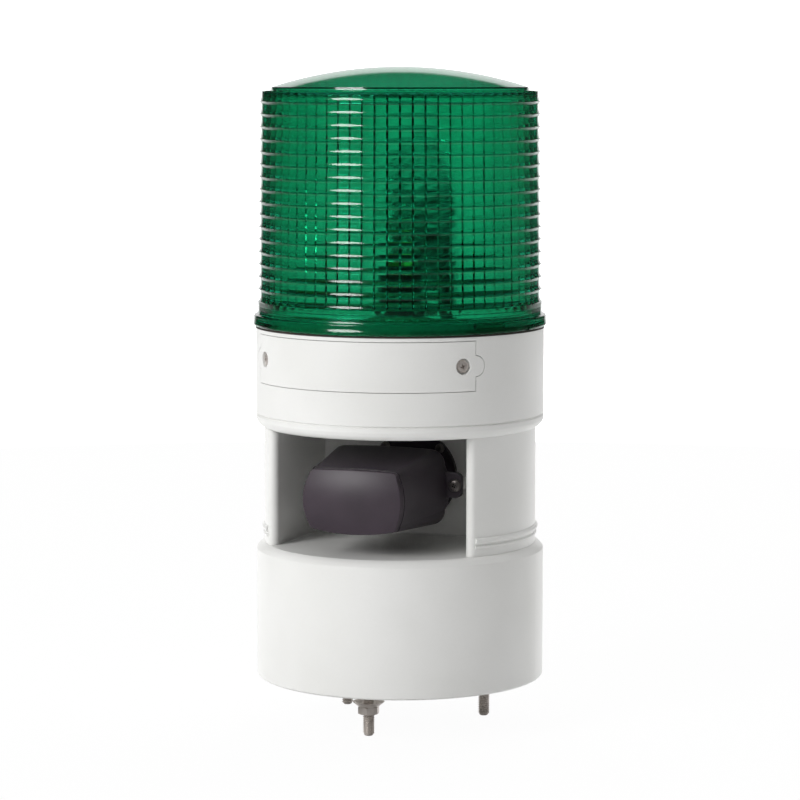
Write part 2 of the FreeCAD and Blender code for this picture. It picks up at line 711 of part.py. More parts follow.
# Horn housing
def horn_housing():
    foot, top = shoulder_top, horn_top
    low_bead = f"({foot} + dim.bead_lift)"
    bead = f"({low_bead} + dim.low_bead_height + dim.bead_gap)"
    bead_top = f"({bead} + dim.bead_height)"
    flare = f"({top} - dim.pocket_roof)"
    lip = f"({top} - dim.rim_lip)"
    form = turned(
        "horn_form",
        ((0, foot), ("dim.horn_radius", foot), ("dim.horn_radius", low_bead),
         ("dim.horn_radius", f"{low_bead} + dim.low_bead_height"), ("dim.horn_radius", bead),
         ("dim.horn_radius", bead_top), ("dim.horn_radius", flare), ("dim.base_radius", lip),
         ("dim.base_radius", f"{top} - 0.3 * dim.rim_lip"), ("dim.base_radius - dim.rim_break", top),
         (0, top)),
        {2: ("dim.low_bead_radius", f"{low_bead} + dim.low_bead_height / 2"),
         4: ("dim.bead_radius", f"{bead} + dim.bead_height / 2"),
         6: ("(dim.horn_radius + dim.base_radius) / 2 + dim.rim_bulge",
             f"({flare} + {lip}) / 2 - dim.rim_bulge")},
    )
    cavity = turned(
        "horn_cavity",
        ((0, horn_floor), (horn_bore, horn_floor), (horn_bore, flare),
         ("dim.base_radius - 1.2 * dim.wall", ledge_under), ("dim.ledge_radius", ledge_under),
         ("dim.ledge_radius", f"{top} + dim.wall"), (0, f"{top} + dim.wall")))
    side, back = "(dim.pocket_half_width + dim.wall)", "(dim.pocket_back + dim.wall)"
    block = box("pocket_block", (f"-{side}", side), ("-2 * dim.horn_radius", back),
                (foot, f"{horn_ceiling} + dim.wall"))
    # the upright edges of the recess are rounded, and the beads stop where the rounding starts
    edge = "dim.pocket_edge_radius"
    edge_x = f"(dim.pocket_half_width + {edge})"
    edge_y = f"sqrt((dim.horn_radius - {edge}) ^ 2 - {edge_x} ^ 2)"
    edge_end = f"({edge_x} * dim.horn_radius / (dim.horn_radius - {edge}))"
    bead_clear = less(
        "bead_clear",
        box("bead_front", (f"-{edge_end}", edge_end), ("-2 * dim.horn_radius", 0), (low_bead, bead_top)),
        rod("bead_core", "dim.horn_radius", "2 * dim.horn_height", z=foot))
    edge_cuts = []
    for index, sign in enumerate((-1, 1)):
        wedge = padded(
            f"edge_wedge_{index}",
            ((f"{sign} * {edge_x}", f"-{edge_y}"),
             (f"{sign} * (dim.pocket_half_width - dim.wall)", f"-{edge_y}"),
             (f"{sign} * (dim.pocket_half_width - dim.wall)", "-2 * dim.horn_radius"),
             (f"{sign} * 2 * {edge_x}", f"-2 * {edge_y}"))[::sign],
            f"{horn_ceiling} - {foot}", "XY_Plane")
        place(wedge, z=f"({foot} + {horn_ceiling}) / 2")
        rounding = rod(f"edge_round_{index}", edge, "2 * dim.horn_height", f"{sign} * {edge_x}",
                       f"-{edge_y}", foot)
        edge_cuts.append(less(f"edge_cut_{index}", wedge, rounding))
    ear_post = rod("ear_post", "dim.ear_post_radius", "dim.pocket_back + dim.cup_rear + dim.wall / 2",
                   y="-dim.cup_rear", z=ear_level, heading="back")
    ear_posts = at_ears(ear_post)
    ear_pilot = rod("ear_pilot", "dim.pilot_radius", "dim.screw_grip + dim.wall",
                    y="-dim.cup_rear - dim.wall", z=ear_level, heading="back")
    ear_pilots = at_ears(ear_pilot)
    boss = rod("tie_boss", "dim.tie_boss_radius", "dim.tie_boss_height + dim.wall / 2")
    boss_pilot = rod("tie_pilot", "dim.pilot_radius", "dim.screw_grip + 2 * dim.wall")
    pocket = box("pocket_space", ("-dim.pocket_half_width", "dim.pocket_half_width"),
                 ("-2 * dim.horn_radius", "dim.pocket_back"), (f"{foot} - dim.wall", horn_ceiling))
    throat = rod("throat_hole", "dim.throat_radius", "3 * dim.wall", y="dim.pocket_back - dim.wall",
                 z=driver_level, heading="back")
    fixing_hole = rod("driver_hole", "dim.pilot_radius", "3 * dim.wall", y="dim.pocket_back - dim.wall",
                      heading="back")
    wire_hole = rod("horn_wire_hole", "dim.wire_hole_radius", "3 * dim.wall", y="dim.wire_hole_back",
                    z=f"{foot} - dim.wall")
    ledge_hole = rod("ledge_hole", "dim.through_radius", "3 * dim.wall")
    shell = less("horn_shell", form, cavity, bead_clear)
    pocket_walls = shared("horn_pocket_walls", less("horn_form_front", form, bead_clear), block)
    walls = joined("horn_walls", shell, pocket_walls,
                   *ringed(boss, "dim.tie_circle", tie_angles, f"{foot} + dim.wall / 2"))
    opened = less("horn_opened", walls, pocket, *edge_cuts)
    posted = joined("horn_posted", opened, *ear_posts)
    keep("horn_housing", less(
        "horn_housing", posted, throat, wire_hole, *ear_pilots, *around_horn(fixing_hole),
        *ringed(boss_pilot, "dim.tie_circle", tie_angles, f"{foot} - dim.wall"),
        *ringed(ledge_hole, "dim.housing_screw_circle", tie_angles, f"{top} - 2 * dim.wall")))


def at_ears(source):
    spots = ("-dim.ear_spread", "dim.ear_spread")
    return [copy(f"{source.Name}_{index}", source, x=spot) for index, spot in enumerate(spots)]


def around_horn(source):
    circle = "dim.driver_screw_circle"
    return [
        copy(f"{source.Name}_{index}", source, x=f"{circle} * cos({angle})",
             z=f"{driver_level} + {circle} * sin({angle})")
        for index, angle in enumerate(driver_angles)
    ]


def housing_fixings():
    fixing = screw("housing_screw", "dim.screw_head_radius", "dim.screw_head_height", "dim.screw_radius",
                   "(dim.screw_grip + dim.wall)")
    fixing.Placement = FreeCAD.Placement(Vector(), Rotation(Vector(1, 0, 0), 180))
    keep("tie_screws", grouped(
        "tie_screws", ringed(fixing, "dim.tie_circle", tie_angles, f"{shoulder_top} - dim.wall")))
    keep("housing_screws", grouped(
        "housing_screws", ringed(fixing, "dim.housing_screw_circle", tie_angles, ledge_under)))


# Horn reflector cup
def pillow(sketch, half_width, half_height, corner, lift):
    turn = 1 - math.sqrt(0.5)
    inner_x, inner_z = f"({half_width} - {corner})", f"({half_height} - {corner})"
    near_x, near_z = f"({half_width} - {turn} * {corner})", f"({half_height} - {turn} * {corner})"
    corners, bows = [], {}
    quarters = ((1, -1), (1, 1), (-1, 1), (-1, -1))
    for index, (x, z) in enumerate(quarters):
        ends = [(f"{x} * {inner_x}", f"{z} * {half_height} + {lift}"),
                (f"{x} * {half_width}", f"{z} * {inner_z} + {lift}")]
        corners += ends if x * z < 0 else ends[::-1]
        bows[2 * index] = (f"{x} * {near_x}", f"{z} * {near_z} + {lift}")
    bows[1] = (f"{half_width} + dim.cup_side_bow", lift)
    bows[3] = (0, f"{half_height} + dim.cup_top_bow + {lift}")
    bows[5] = (f"-({half_width} + dim.cup_side_bow)", lift)
    bows[7] = (0, f"-({half_height} + dim.cup_foot_bow) + {lift}")
    outline(sketch, corners, bows)


def lofted(name, front, rear):
    body = new_body(name)
    sketches = []
    for distance, half_width, half_height, corner, lift in (front, rear):
        sketch = new_sketch(body, "XZ_Plane", distance)
        pillow(sketch, half_width, half_height, corner, lift)
        sketches.append(sketch)
    feature = body.newObject("PartDesign::AdditiveLoft", name + "_loft")
    feature.Profile = sketches[0]
    feature.Sections = sketches[1:]
    return place(body, z="dim.horn_level")


def horn_cup():
    wide, tall = "dim.cup_front_half_width", "dim.cup_front_half_height"
    rear_wide, rear_tall = "dim.cup_rear_half_width", "dim.cup_rear_half_height"
    corner, rear_corner, rear_lift = "dim.cup_front_corner", "dim.cup_rear_corner", "dim.cup_rear_lift"
    inner = "dim.cup_wall"
    seat = "(-dim.cup_rear - dim.ear_thickness)"
    outside = lofted("cup_outside", ("dim.cup_front", wide, tall, corner, 0),
                     ("dim.cup_rear", rear_wide, rear_tall, rear_corner, rear_lift))
    inside = lofted("cup_inside",
                    ("dim.cup_front", f"({wide} - {inner})", f"({tall} - {inner})", corner, 0),
                    ("dim.cup_rear", f"({rear_wide} - {inner})", f"({rear_tall} - {inner})",
                     rear_corner, rear_lift))
    ears = []
    holes = []
    root = "(dim.cup_rear_half_width - dim.cup_wall)"
    round_lift = "(dim.ear_half_height - dim.ear_radius)"
    for index, sign in enumerate((-1, 1)):
        spot = f"{sign} * dim.ear_spread"
        for name, reach, half_height in (("ear_root", "dim.ear_spread", "dim.ear_half_height"),
                                         ("ear_end", "(dim.ear_spread + dim.ear_radius)", round_lift)):
            span = (root, reach) if sign > 0 else (f"-{reach}", f"-{root}")
            ears.append(box(f"{name}_{index}", span, (seat, "-dim.cup_rear"),
                            (f"{ear_level} - {half_height}", f"{ear_level} + {half_height}")))
        for name, lift in (("ear_low_round", f"-{round_lift}"), ("ear_high_round", f"+ {round_lift}")):
            ears.append(rod(f"{name}_{index}", "dim.ear_radius", "dim.ear_thickness", spot,
                            seat, f"{ear_level} {lift}", "back"))
        holes.append(rod(f"ear_hole_{index}", "dim.pilot_radius", "3 * dim.ear_thickness", spot,
                         f"{seat} - dim.ear_thickness", ear_level, "back"))
        holes.append(rod(f"ear_relief_{index}", "dim.screw_head_radius + dim.ear_relief",
                         "dim.ear_relief_length",
                         spot, seat, ear_level, "front"))
    keep("horn_cup", less("horn_cup", joined("cup_with_ears", outside, *ears), inside, *holes))

    face = "(dim.cup_front + dim.cap_reach)"
    cap_wide, cap_tall = f"({wide} - dim.cap_inset)", f"({tall} - dim.cap_inset)"
    plug = f"({inner} + dim.fit_gap)"
    cap = lofted("cap_block", (f"{face} + dim.cap_spigot", cap_wide, cap_tall, corner, 0),
                 ("dim.cup_front", cap_wide, cap_tall, corner, 0))
    crown = doc.addObject("Part::Sphere", "cap_crown")
    bind(crown, "Radius", "dim.cap_crown_radius")
    place(crown, y=f"dim.cap_crown_radius - {face}", z="dim.horn_level")
    plug_wide, plug_tall = f"({wide} - {plug})", f"({tall} - {plug})"
    spigot = lofted("cap_plug", ("dim.cup_front", plug_wide, plug_tall, corner, 0),
                    ("dim.cup_front - dim.cap_spigot", plug_wide, plug_tall, corner, 0))
    keep("horn_cap", joined("horn_cap", shared("cap_face", cap, crown), spigot))

    fixing = lying_screw("ear_screw", seat, "dim.screw_head_radius", "dim.screw_grip", ear_level)
    keep("horn_screws", grouped("horn_screws", at_ears(fixing)))


# Horn driver, behind the back wall of the recess
def horn_driver():
    level, face, back = driver_level, driver_face, "dim.pocket_back"
    root = f"{back} - dim.pipe_flange"
    pipe = lying("tone_pipe_form", (
        (back, "dim.throat_radius"), (back, "dim.driver_radius"), (root, "dim.driver_radius"),
        (root, "dim.throat_radius + dim.pipe_root"),
        ("-dim.pipe_reach", "dim.pipe_mouth_radius + dim.pipe_wall"),
        ("-dim.pipe_reach", "dim.pipe_mouth_radius")), level)
    hole = rod("pipe_hole", "dim.pilot_radius", "3 * dim.pipe_flange", y=f"{back} - 2 * dim.pipe_flange",
               heading="back")
    keep("tone_pipe", less("tone_pipe", pipe, *around_horn(hole)))

    rim = f"({face} + dim.diaphragm_thickness)"
    rim_back = f"({rim} + dim.diaphragm_thickness)"
    cone = "dim.cone_radius"
    keep("diaphragm", lying("diaphragm", (
        (rim, "dim.diaphragm_radius"), (rim_back, "dim.diaphragm_radius"), (rim_back, cone),
        (f"{rim_back} + dim.diaphragm_rise", 0), (f"{rim} + dim.diaphragm_rise", 0), (rim, cone)), level))
    frame_back = f"({face} + dim.frame_depth)"
    frame = lying("frame_form", (
        (face, "dim.diaphragm_radius + dim.fit_gap"), (face, "dim.driver_radius"),
        (frame_back, "dim.driver_radius"),
        (frame_back, "dim.frame_opening"), (rim_back, "dim.frame_opening"),
        (rim_back, "dim.diaphragm_radius + dim.fit_gap")), level)
    frame_hole = rod("frame_hole", "dim.pilot_radius", "3 * dim.frame_depth", y=f"{face} - dim.frame_depth",
                     heading="back")
    keep("driver_frame", less("driver_frame", frame, *around_horn(frame_hole)))

    coil_inner = "(dim.pole_radius + dim.coil_gap)"
    coil_outer = f"({coil_inner} + dim.coil_thickness)"
    coil_front = f"({rim_back} + dim.diaphragm_rise * (1 - {coil_inner} / {cone}) + dim.glue_gap)"
    keep("voice_coil", lying("voice_coil", (
        (coil_front, coil_inner), (coil_front, coil_outer), (f"{coil_front} + dim.coil_length", coil_outer),
        (f"{coil_front} + dim.coil_length", coil_inner)), level))
    plate_back = f"({frame_back} + dim.top_plate_thickness)"
    plate = lying("top_plate_form", (
        (frame_back, f"{coil_outer} + dim.coil_gap"), (frame_back, "dim.driver_radius"),
        (plate_back, "dim.driver_radius"), (plate_back, f"{coil_outer} + dim.coil_gap")), level)
    plate_hole = rod("top_plate_hole", "dim.pilot_radius", "3 * dim.top_plate_thickness",
                     y=f"{frame_back} - dim.top_plate_thickness", heading="back")
    keep("top_plate", less("top_plate", plate, *around_horn(plate_hole)))
    magnet_back = f"({plate_back} + dim.magnet_thickness)"
    magnet_radius = "(dim.driver_screw_circle - dim.pilot_radius - dim.fit_gap)"
    keep("driver_magnet", lying("driver_magnet", (
        (plate_back, "dim.magnet_opening"), (plate_back, magnet_radius), (magnet_back, magnet_radius),
        (magnet_back, "dim.magnet_opening")), level))
    yoke_back = f"({magnet_back} + dim.yoke_thickness)"
    keep("driver_yoke", lying("driver_yoke", (
        (f"{frame_back} + dim.fit_gap", 0), (f"{frame_back} + dim.fit_gap", "dim.pole_radius"),
        (magnet_back, "dim.pole_radius"), (magnet_back, "dim.driver_radius"),
        (yoke_back, "dim.driver_radius"),
        (yoke_back, 0)), level))
    skin = "(dim.driver_radius + dim.fit_gap)"
    outside = f"({skin} + dim.wall)"
    end = f"({yoke_back} + dim.wall)"
    keep("driver_cover", lying("driver_cover", (
        (face, skin), (face, outside), (end, outside), (end, 0), (yoke_back, 0), (yoke_back, skin)), level))
    fixing = lying_screw("driver_screw", f"({root})", "dim.small_head_radius",
                         f"({plate_back} - ({root}))", "0")
    keep("driver_screws", grouped("driver_screws", around_horn(fixing)))


# Upper housing and access cover
def cover_form(name, half_angle, low, high, inner, outer, bump):
    panel = sector(f"{name}_panel", inner, outer, low, high, f"2 * {half_angle}", -90)
    stub = rod(f"{name}_stub", bump, "dim.base_radius", y=f"-0.5 * {outer}", z=cover_middle,
               heading="front")
    ring = sector(f"{name}_ring", inner, outer, f"{cover_middle} - 2 * {bump}",
                  f"{cover_middle} + 2 * {bump}",
                  f"2 * ({half_angle} + dim.bump_reach_angle)", -90)
    stubs = joined(f"{name}_stubs", *spun(stub, ("dim.cover_half_angle", "-dim.cover_half_angle")))
    return joined(f"{name}_outline", panel, shared(f"{name}_bumps", stubs, ring))


def upper_housing():
    low, top = horn_top, band_top
    bore = base_bore
    shell = turned(
        "band_shell",
        ((bore, low), ("dim.base_radius - dim.rim_break", low),
         ("dim.base_radius", f"{low} + 0.6 * dim.rim_break"),
         ("dim.base_radius", top), ("dim.collar_radius", top), ("dim.collar_radius", collar_top),
         ("dim.deck_radius + dim.fit_gap", collar_top), ("dim.deck_radius + dim.fit_gap", top),
         ("dim.ledge_radius", top), ("dim.ledge_radius", ring_under), (bore, ring_under)))
    margin = "dim.window_margin"
    frame = sector("cover_frame", f"{frame_face} - dim.wall", f"{bore} + 0.3 * dim.wall",
                   f"{cover_low} - {margin}",
                   f"{ring_under} + dim.wall / 2", "2 * (dim.cover_half_angle + dim.cover_frame_angle)",
                   -90)
    pillar_rib = box("pillar_rib", ("dim.housing_screw_circle", f"{bore} + dim.wall / 2"),
                     ("-dim.pillar_rib / 2", "dim.pillar_rib / 2"), (low, f"{low} + dim.pillar_height"))
    pillar = joined("pillar", pillar_rib, rod("pillar_round", "dim.post_radius", "dim.pillar_height",
                                              x="dim.housing_screw_circle", z=low))
    deck_boss = rod("deck_boss", "dim.tie_boss_radius", "dim.deck_boss_length + dim.wall / 2")
    cover_boss = rod("cover_boss", "dim.cover_boss_radius", "dim.cover_boss_length",
                     y=f"dim.wall / 2 - {frame_face} + dim.cover_boss_length", z=cover_middle,
                     heading="front")
    posts = [
        box(f"control_post_{index}", span,
            ("-dim.control_board_back", "dim.control_post_depth - dim.control_board_back"),
            (f"{cover_middle} - dim.control_board_height / 2", f"{ring_under} + dim.wall / 2"))
        for index, span in enumerate((
            ("dim.control_post_inner", "dim.control_post_inner + dim.control_post_width"),
            ("-dim.control_post_inner - dim.control_post_width", "-dim.control_post_inner")))
    ]
    catch = sector("lens_catch", "dim.collar_radius - dim.collar_wall / 2",
                   "dim.skirt_radius - 2 * dim.running_gap",
                   f"{lens_foot} + dim.lug_lift + dim.lug_height + dim.running_gap", collar_top,
                   "dim.ledge_width_angle", 0)
    solid = joined("band_solid", shell, frame, *spun(pillar, tie_angles), *posts, *spun(catch, lug_angles),
                   *ringed(deck_boss, "dim.deck_screw_circle", deck_angles,
                           f"{ring_under} - dim.deck_boss_length"),
                   *spun(cover_boss, ("dim.cover_screw_angle", "-dim.cover_screw_angle")))
    gap = "dim.cover_gap"
    rebate = cover_form("rebate", "(dim.cover_half_angle + dim.cover_gap_angle)", f"({cover_low} - {gap})",
                        f"({cover_high} + {gap})", frame_face, "(dim.base_radius + dim.wall)",
                        f"(dim.cover_bump_radius + {gap})")
    window = sector("cover_window", "0.8 * dim.base_radius", "dim.base_radius + dim.wall",
                    f"{cover_low} + {margin}",
                    f"{cover_high} - {margin}", "2 * dim.window_half_angle", -90)
    pillar_pilot = rod("pillar_pilot", "dim.pilot_radius", "dim.screw_grip + 2 * dim.wall")
    deck_pilot = rod("deck_pilot", "dim.pilot_radius", "dim.deck_boss_length + dim.wall")
    cover_pilot = rod("cover_pilot", "dim.pilot_radius", "dim.base_radius", y="-0.75 * dim.base_radius",
                      z=cover_middle, heading="front")
    post_pilot = rod("post_pilot", "dim.pilot_radius", "dim.control_post_depth - dim.fit_gap",
                     y="-dim.control_board_back - dim.fit_gap", z=cover_middle, heading="back")
    keep("upper_housing", less(
        "upper_housing", solid, rebate, window,
        *ringed(pillar_pilot, "dim.housing_screw_circle", tie_angles, f"{low} - dim.wall"),
        *ringed(deck_pilot, "dim.deck_screw_circle", deck_angles,
                f"{ring_under} - dim.deck_boss_length + dim.wall"),
        *spun(cover_pilot, ("dim.cover_screw_angle", "-dim.cover_screw_angle")),
        *at_control_posts(post_pilot)))


def at_control_posts(source):
    middle = "(dim.control_post_inner + dim.control_post_width / 2)"
    return [
        copy(f"{source.Name}_{index}", source, x=f"{sign} * {middle}") for index, sign in enumerate((-1, 1))
    ]


def access_cover():
    panel = cover_form("cover", "dim.cover_half_angle", cover_low, cover_high, cover_back,
                       "dim.base_radius",
                       "dim.cover_bump_radius")
    seat = f"({cover_back} + dim.cover_seat)"
    bore = rod("cover_bore", "dim.cover_bore_radius", "dim.base_radius", y=f"-{seat}", z=cover_middle,
               heading="front")
    hole = rod("cover_hole", "dim.through_radius", "dim.base_radius", y="-0.75 * dim.base_radius",
               z=cover_middle,
               heading="front")
    angles = ("dim.cover_screw_angle", "-dim.cover_screw_angle")
    keep("access_cover", less("access_cover", panel, *spun(bore, angles), *spun(hole, angles)))
    fixing = lying_screw("cover_screw", f"-{seat}", "dim.screw_head_radius", "dim.screw_grip", cover_middle)
    keep("access_cover_screws", grouped("access_cover_screws", spun(fixing, angles)))


def controls():
    face, level = board_face, cover_middle
    slab = box("control_slab", ("-dim.control_board_half_width", "dim.control_board_half_width"),
               (f"-{face}", "-dim.control_board_back"),
               (f"{level} - dim.control_board_height / 2", f"{level} + dim.control_board_height / 2"))
    hole = rod("control_hole", "dim.pilot_radius", "3 * dim.board_thickness",
               y=f"-{face} - dim.board_thickness", z=level, heading="back")
    keep("control_board", less("control_board", slab, *at_control_posts(hole)))
    fixing = lying_screw("control_screw", f"-{face}", "dim.small_head_radius", "dim.control_screw_length",
                         level)
    keep("control_board_screws", grouped("control_board_screws", at_control_posts(fixing)))

    pot_front = f"({face} + dim.pot_depth)"
    case = box("pot_case", ("-dim.dial_shift - dim.pot_side / 2", "-dim.dial_shift + dim.pot_side / 2"),
               (f"-{pot_front}", f"-{face}"), (f"{level} - dim.pot_side / 2",
                                               f"{level} + dim.pot_side / 2"))
    socket = rod("pot_socket", "dim.dial_shaft_radius + dim.shaft_gap",
                 "dim.dial_shaft_length + 2 * dim.fit_gap",
                 x="-dim.dial_shift", y=f"-{pot_front} - dim.fit_gap", z=level, heading="back")
    keep("volume_control", less("volume_control", case, socket))
    knob_back = f"({pot_front} + dim.shaft_gap)"
    knob_front = f"({knob_back} + dim.dial_length)"
    shaft_end = f"dim.dial_shaft_length - {pot_front}"
    knob = lying("dial_form", (
        (f"-{knob_front}", 0), (f"-{knob_front}", "dim.dial_radius - dim.rim_break"),
        (f"dim.rim_break - {knob_front}", "dim.dial_radius"), (f"-{knob_back}", "dim.dial_radius"),
        (f"-{knob_back}", "dim.dial_shaft_radius"), (shaft_end, "dim.dial_shaft_radius"), (shaft_end, 0)),
        level)
    slot = box("dial_slot", ("-dim.dial_radius * 2", "dim.dial_radius * 2"),
               (f"-{knob_back} - 2 * dim.dial_length", f"-{knob_back} - 0.7 * dim.dial_length"),
               (f"{level} - 0.15 * dim.dial_radius", f"{level} + 0.15 * dim.dial_radius"))
    keep("volume_dial", place(less("volume_dial", knob, slot), x="-dim.dial_shift"))

    left = "(dim.switch_shift - dim.switch_length / 2)"
    switch_front = f"({face} + dim.switch_depth)"
    case = box("switch_case", (left, f"{left} + dim.switch_length"), (f"-{switch_front}", f"-{face}"),
               (f"{level} - dim.switch_height / 2", f"{level} + dim.switch_height / 2"))
    slot_left = "(dim.switch_shift - dim.switch_slot_length / 2)"
    track = box("switch_track", (slot_left, f"{slot_left} + dim.switch_slot_length"),
                (f"-{switch_front} - dim.wall", f"dim.switch_slot_depth - {switch_front}"),
                (f"{level} - dim.switch_slot_height / 2", f"{level} + dim.switch_slot_height / 2"))
    keep("tone_switch", less("tone_switch", case, track))
    gap = "dim.fit_gap"
    keep("tone_slider", box(
        "tone_slider", (f"{slot_left} + {gap}", f"{slot_left} + {gap} + dim.slider_length"),
        (f"-{switch_front} - dim.slider_stand", f"dim.switch_slot_depth - {switch_front} - {gap}"),
        (f"{level} - dim.switch_slot_height / 2 + {gap}", f"{level} + dim.switch_slot_height / 2 - {gap}")))


# Lens
def lens():
    foot, edge = lens_foot, "dim.flange_edge"
    flange_top = f"({foot} + dim.flange_height)"
    ribs_low = f"({flange_top} + dim.lens_plain_height)"
    outside = [
        ("dim.skirt_radius", foot), (f"dim.flange_radius - {edge}", foot),
        ("dim.flange_radius", f"{foot} + {edge}"),
        ("dim.flange_radius", f"{flange_top} - {edge}"), (f"dim.flange_radius - {edge}", flange_top),
        ("dim.lens_radius", flange_top)]
    for rib in range(rib_count):
        lip = f"(dim.lens_radius - {rib} * dim.rib_step_in)"
        low = f"({ribs_low} + {rib} * dim.rib_pitch)"
        face = f"{lip} - dim.rib_flare_reach"
        outside += [(lip, low), (face, f"{low} + dim.rib_flare_height"),
                    (face, f"{low} + dim.rib_pitch - dim.rib_shoulder"),
                    (f"{lip} - dim.rib_depth", f"{low} + dim.rib_pitch")]
    rim_low = f"({ribs_low} + {rib_count} * dim.rib_pitch)"
    rim = "dim.lens_rim_radius"
    dome_edge = "dim.dome_edge_radius"
    dome_low = f"({rim_low} + dim.lens_rim_height + dim.dome_edge_rise)"
    apex = f"({dome_low} + dim.dome_rise)"
    rim_top = f"({rim_low} + dim.lens_rim_height)"
    gate = "dim.gate_radius"
    outside += [(rim, rim_low), (rim, rim_top), (f"{rim} - dim.lens_rim_width", rim_top),
                (dome_edge, dome_low),
                (gate, apex), (0, apex)]
    dome_side = len(outside) - 3
    ball = f"(({dome_edge} ^ 2 + dim.dome_rise ^ 2) / 2 / dim.dome_rise)"
    inner_ball = f"({ball} - dim.dome_wall)"
    inner_edge = f"({dome_edge} - dim.dome_wall)"
    half_drop = f"({ball} - sqrt({ball} ^ 2 - ({dome_edge} / 2) ^ 2))"
    inner_half_drop = f"({inner_ball} - sqrt({inner_ball} ^ 2 - ({inner_edge} / 2) ^ 2))"
    inner_drop = f"({inner_ball} - sqrt({inner_ball} ^ 2 - {inner_edge} ^ 2))"
    inside = [
        (0, f"{apex} - dim.dome_wall"), (gate, f"{apex} - dim.dome_wall"),
        (inner_edge, f"{apex} - dim.dome_wall - {inner_drop}"),
        (f"{rim} - 1.6 * dim.lens_wall", f"{rim_low} - dim.lens_wall"),
        ("dim.lens_radius - dim.rib_depth - dim.lens_wall", ribs_low),
        ("dim.lens_radius - dim.rib_depth - dim.lens_wall", f"{foot} + dim.skirt_height + dim.lens_wall"),
        ("dim.skirt_radius", f"{foot} + dim.skirt_height")]
    bows = {dome_side: (f"{dome_edge} / 2", f"{apex} - {half_drop}"),
            dome_side + 4: (f"{inner_edge} / 2", f"{apex} - dim.dome_wall - {inner_half_drop}")}
    shell = turned("lens_shell", outside + inside, bows)
    lug = sector("lens_lug", "dim.skirt_radius - dim.lug_reach", "dim.skirt_radius + dim.lens_wall / 2",
                 f"{foot} + dim.lug_lift", f"{foot} + dim.lug_lift + dim.lug_height",
                 "dim.lug_width_angle", 0)
    keep("lens", joined("lens", shell, *spun(lug, lug_angles)))
    keep("lens_gasket", turned("lens_gasket", (
        ("dim.gasket_inner_radius", band_top), ("dim.gasket_outer_radius", band_top),
        ("dim.gasket_outer_radius", f"{band_top} + dim.gasket_thickness"),
        ("dim.gasket_inner_radius", f"{band_top} + dim.gasket_thickness"))))


# Lamp and its deck
def lamp():
    disc = rod("deck_disc", "dim.deck_radius", "dim.deck_thickness", z=band_top)
    below = f"{band_top} - dim.deck_thickness"
    wire_hole = rod("deck_wire_hole", "0.5 * dim.holder_radius", "3 * dim.deck_thickness", z=below)
    shaft_hole = rod("deck_shaft_hole", "2 * dim.motor_shaft_radius", "3 * dim.deck_thickness",
                     motor_x, motor_y, below)
    hole = rod("deck_hole", "dim.through_radius", "3 * dim.deck_thickness")
    motor_hole = rod("deck_motor_hole", "dim.motor_screw_radius + dim.fit_gap", "3 * dim.deck_thickness")
    keep("lamp_deck", less(
        "lamp_deck", disc, wire_hole, shaft_hole,
        *ringed(hole, "dim.deck_screw_circle", deck_angles, below), *at_motor_screws(motor_hole, below)))
    fixing = screw("deck_screw", "dim.screw_head_radius", "dim.screw_head_height", "dim.screw_radius",
                   "(dim.screw_grip + dim.deck_thickness)")
    keep("deck_screws", grouped("deck_screws", ringed(fixing, "dim.deck_screw_circle", deck_angles,
                                                      deck_top)))

    holder_top = f"({deck_top} + dim.holder_height)"
    socket = f"({holder_top} - dim.holder_socket_depth)"
    socket_radius = "dim.bulb_cap_radius + dim.fit_gap"
    keep("lamp_holder", turned("lamp_holder", (
        (0, deck_top), ("dim.holder_radius", deck_top),
        ("dim.holder_radius", f"{holder_top} - dim.rim_break"),
        ("dim.holder_radius - dim.rim_break", holder_top), (socket_radius, holder_top),
        (socket_radius, socket),
        (0, socket))))
    cap_top = f"({socket} + dim.bulb_cap_length)"
    keep("bulb_cap", turned("bulb_cap", (
        (0, socket), ("0.6 * dim.bulb_cap_radius", socket), ("dim.bulb_cap_radius", f"{socket} + dim.wall"),
        ("dim.bulb_cap_radius", cap_top), (0, cap_top))))
    widest = f"({cap_top} + 0.58 * dim.bulb_height)"
    bulb_top = f"({cap_top} + dim.bulb_height)"
    keep("bulb_glass", turned(
        "bulb_glass",
        ((0, cap_top), ("0.9 * dim.bulb_cap_radius", cap_top), ("dim.bulb_radius", widest),
         ("0.06 * dim.bulb_radius", bulb_top), (0, bulb_top)),
        {1: ("0.87 * dim.bulb_radius", f"{cap_top} + 0.3 * dim.bulb_height"),
         2: ("0.74 * dim.bulb_radius", f"{widest} + 0.3 * dim.bulb_height")}))


def at_motor_screws(source, level):
    across = "dim.motor_angle + 90"
    return [
        copy(f"{source.Name}_{index}", source,
             f"{motor_x} + {sign} * dim.motor_screw_spread * cos({across})",
             f"{motor_y} + {sign} * dim.motor_screw_spread * sin({across})", level)
        for index, sign in enumerate((-1, 1))
    ]


# Involute teeth, thinned by half of the backlash on each wheel
def gear_face(teeth, first_tooth):
    module = sheet.gear_module
    pitch = module * teeth / 2
    base_circle = pitch * math.cos(pressure_angle)
    root = pitch - dedendum * module
    tip = pitch + module

    def involute(radius):
        slope = math.acos(min(1, base_circle / radius))
        return math.tan(slope) - slope

    half_tooth = math.pi / 2 / teeth - sheet.tooth_backlash / 4 / pitch
    flank = [max(root, base_circle), pitch, tip]
    half_angles = [half_tooth + involute(pitch) - involute(radius) for radius in flank]
    rising = [(root, -half_angles[0])] if root < base_circle else []
    rising += [(radius, -angle) for radius, angle in zip(flank, half_angles)]
    falling = [(radius, -angle) for radius, angle in reversed(rising)]
    points = []
    for tooth in range(teeth):
        centre = first_tooth + tooth * 2 * math.pi / teeth
        points += [Vector(radius * math.cos(centre + angle), radius * math.sin(centre + angle), 0)
                   for radius, angle in rising + falling]
    return Part.Face(Part.makePolygon(points + points[:1]))


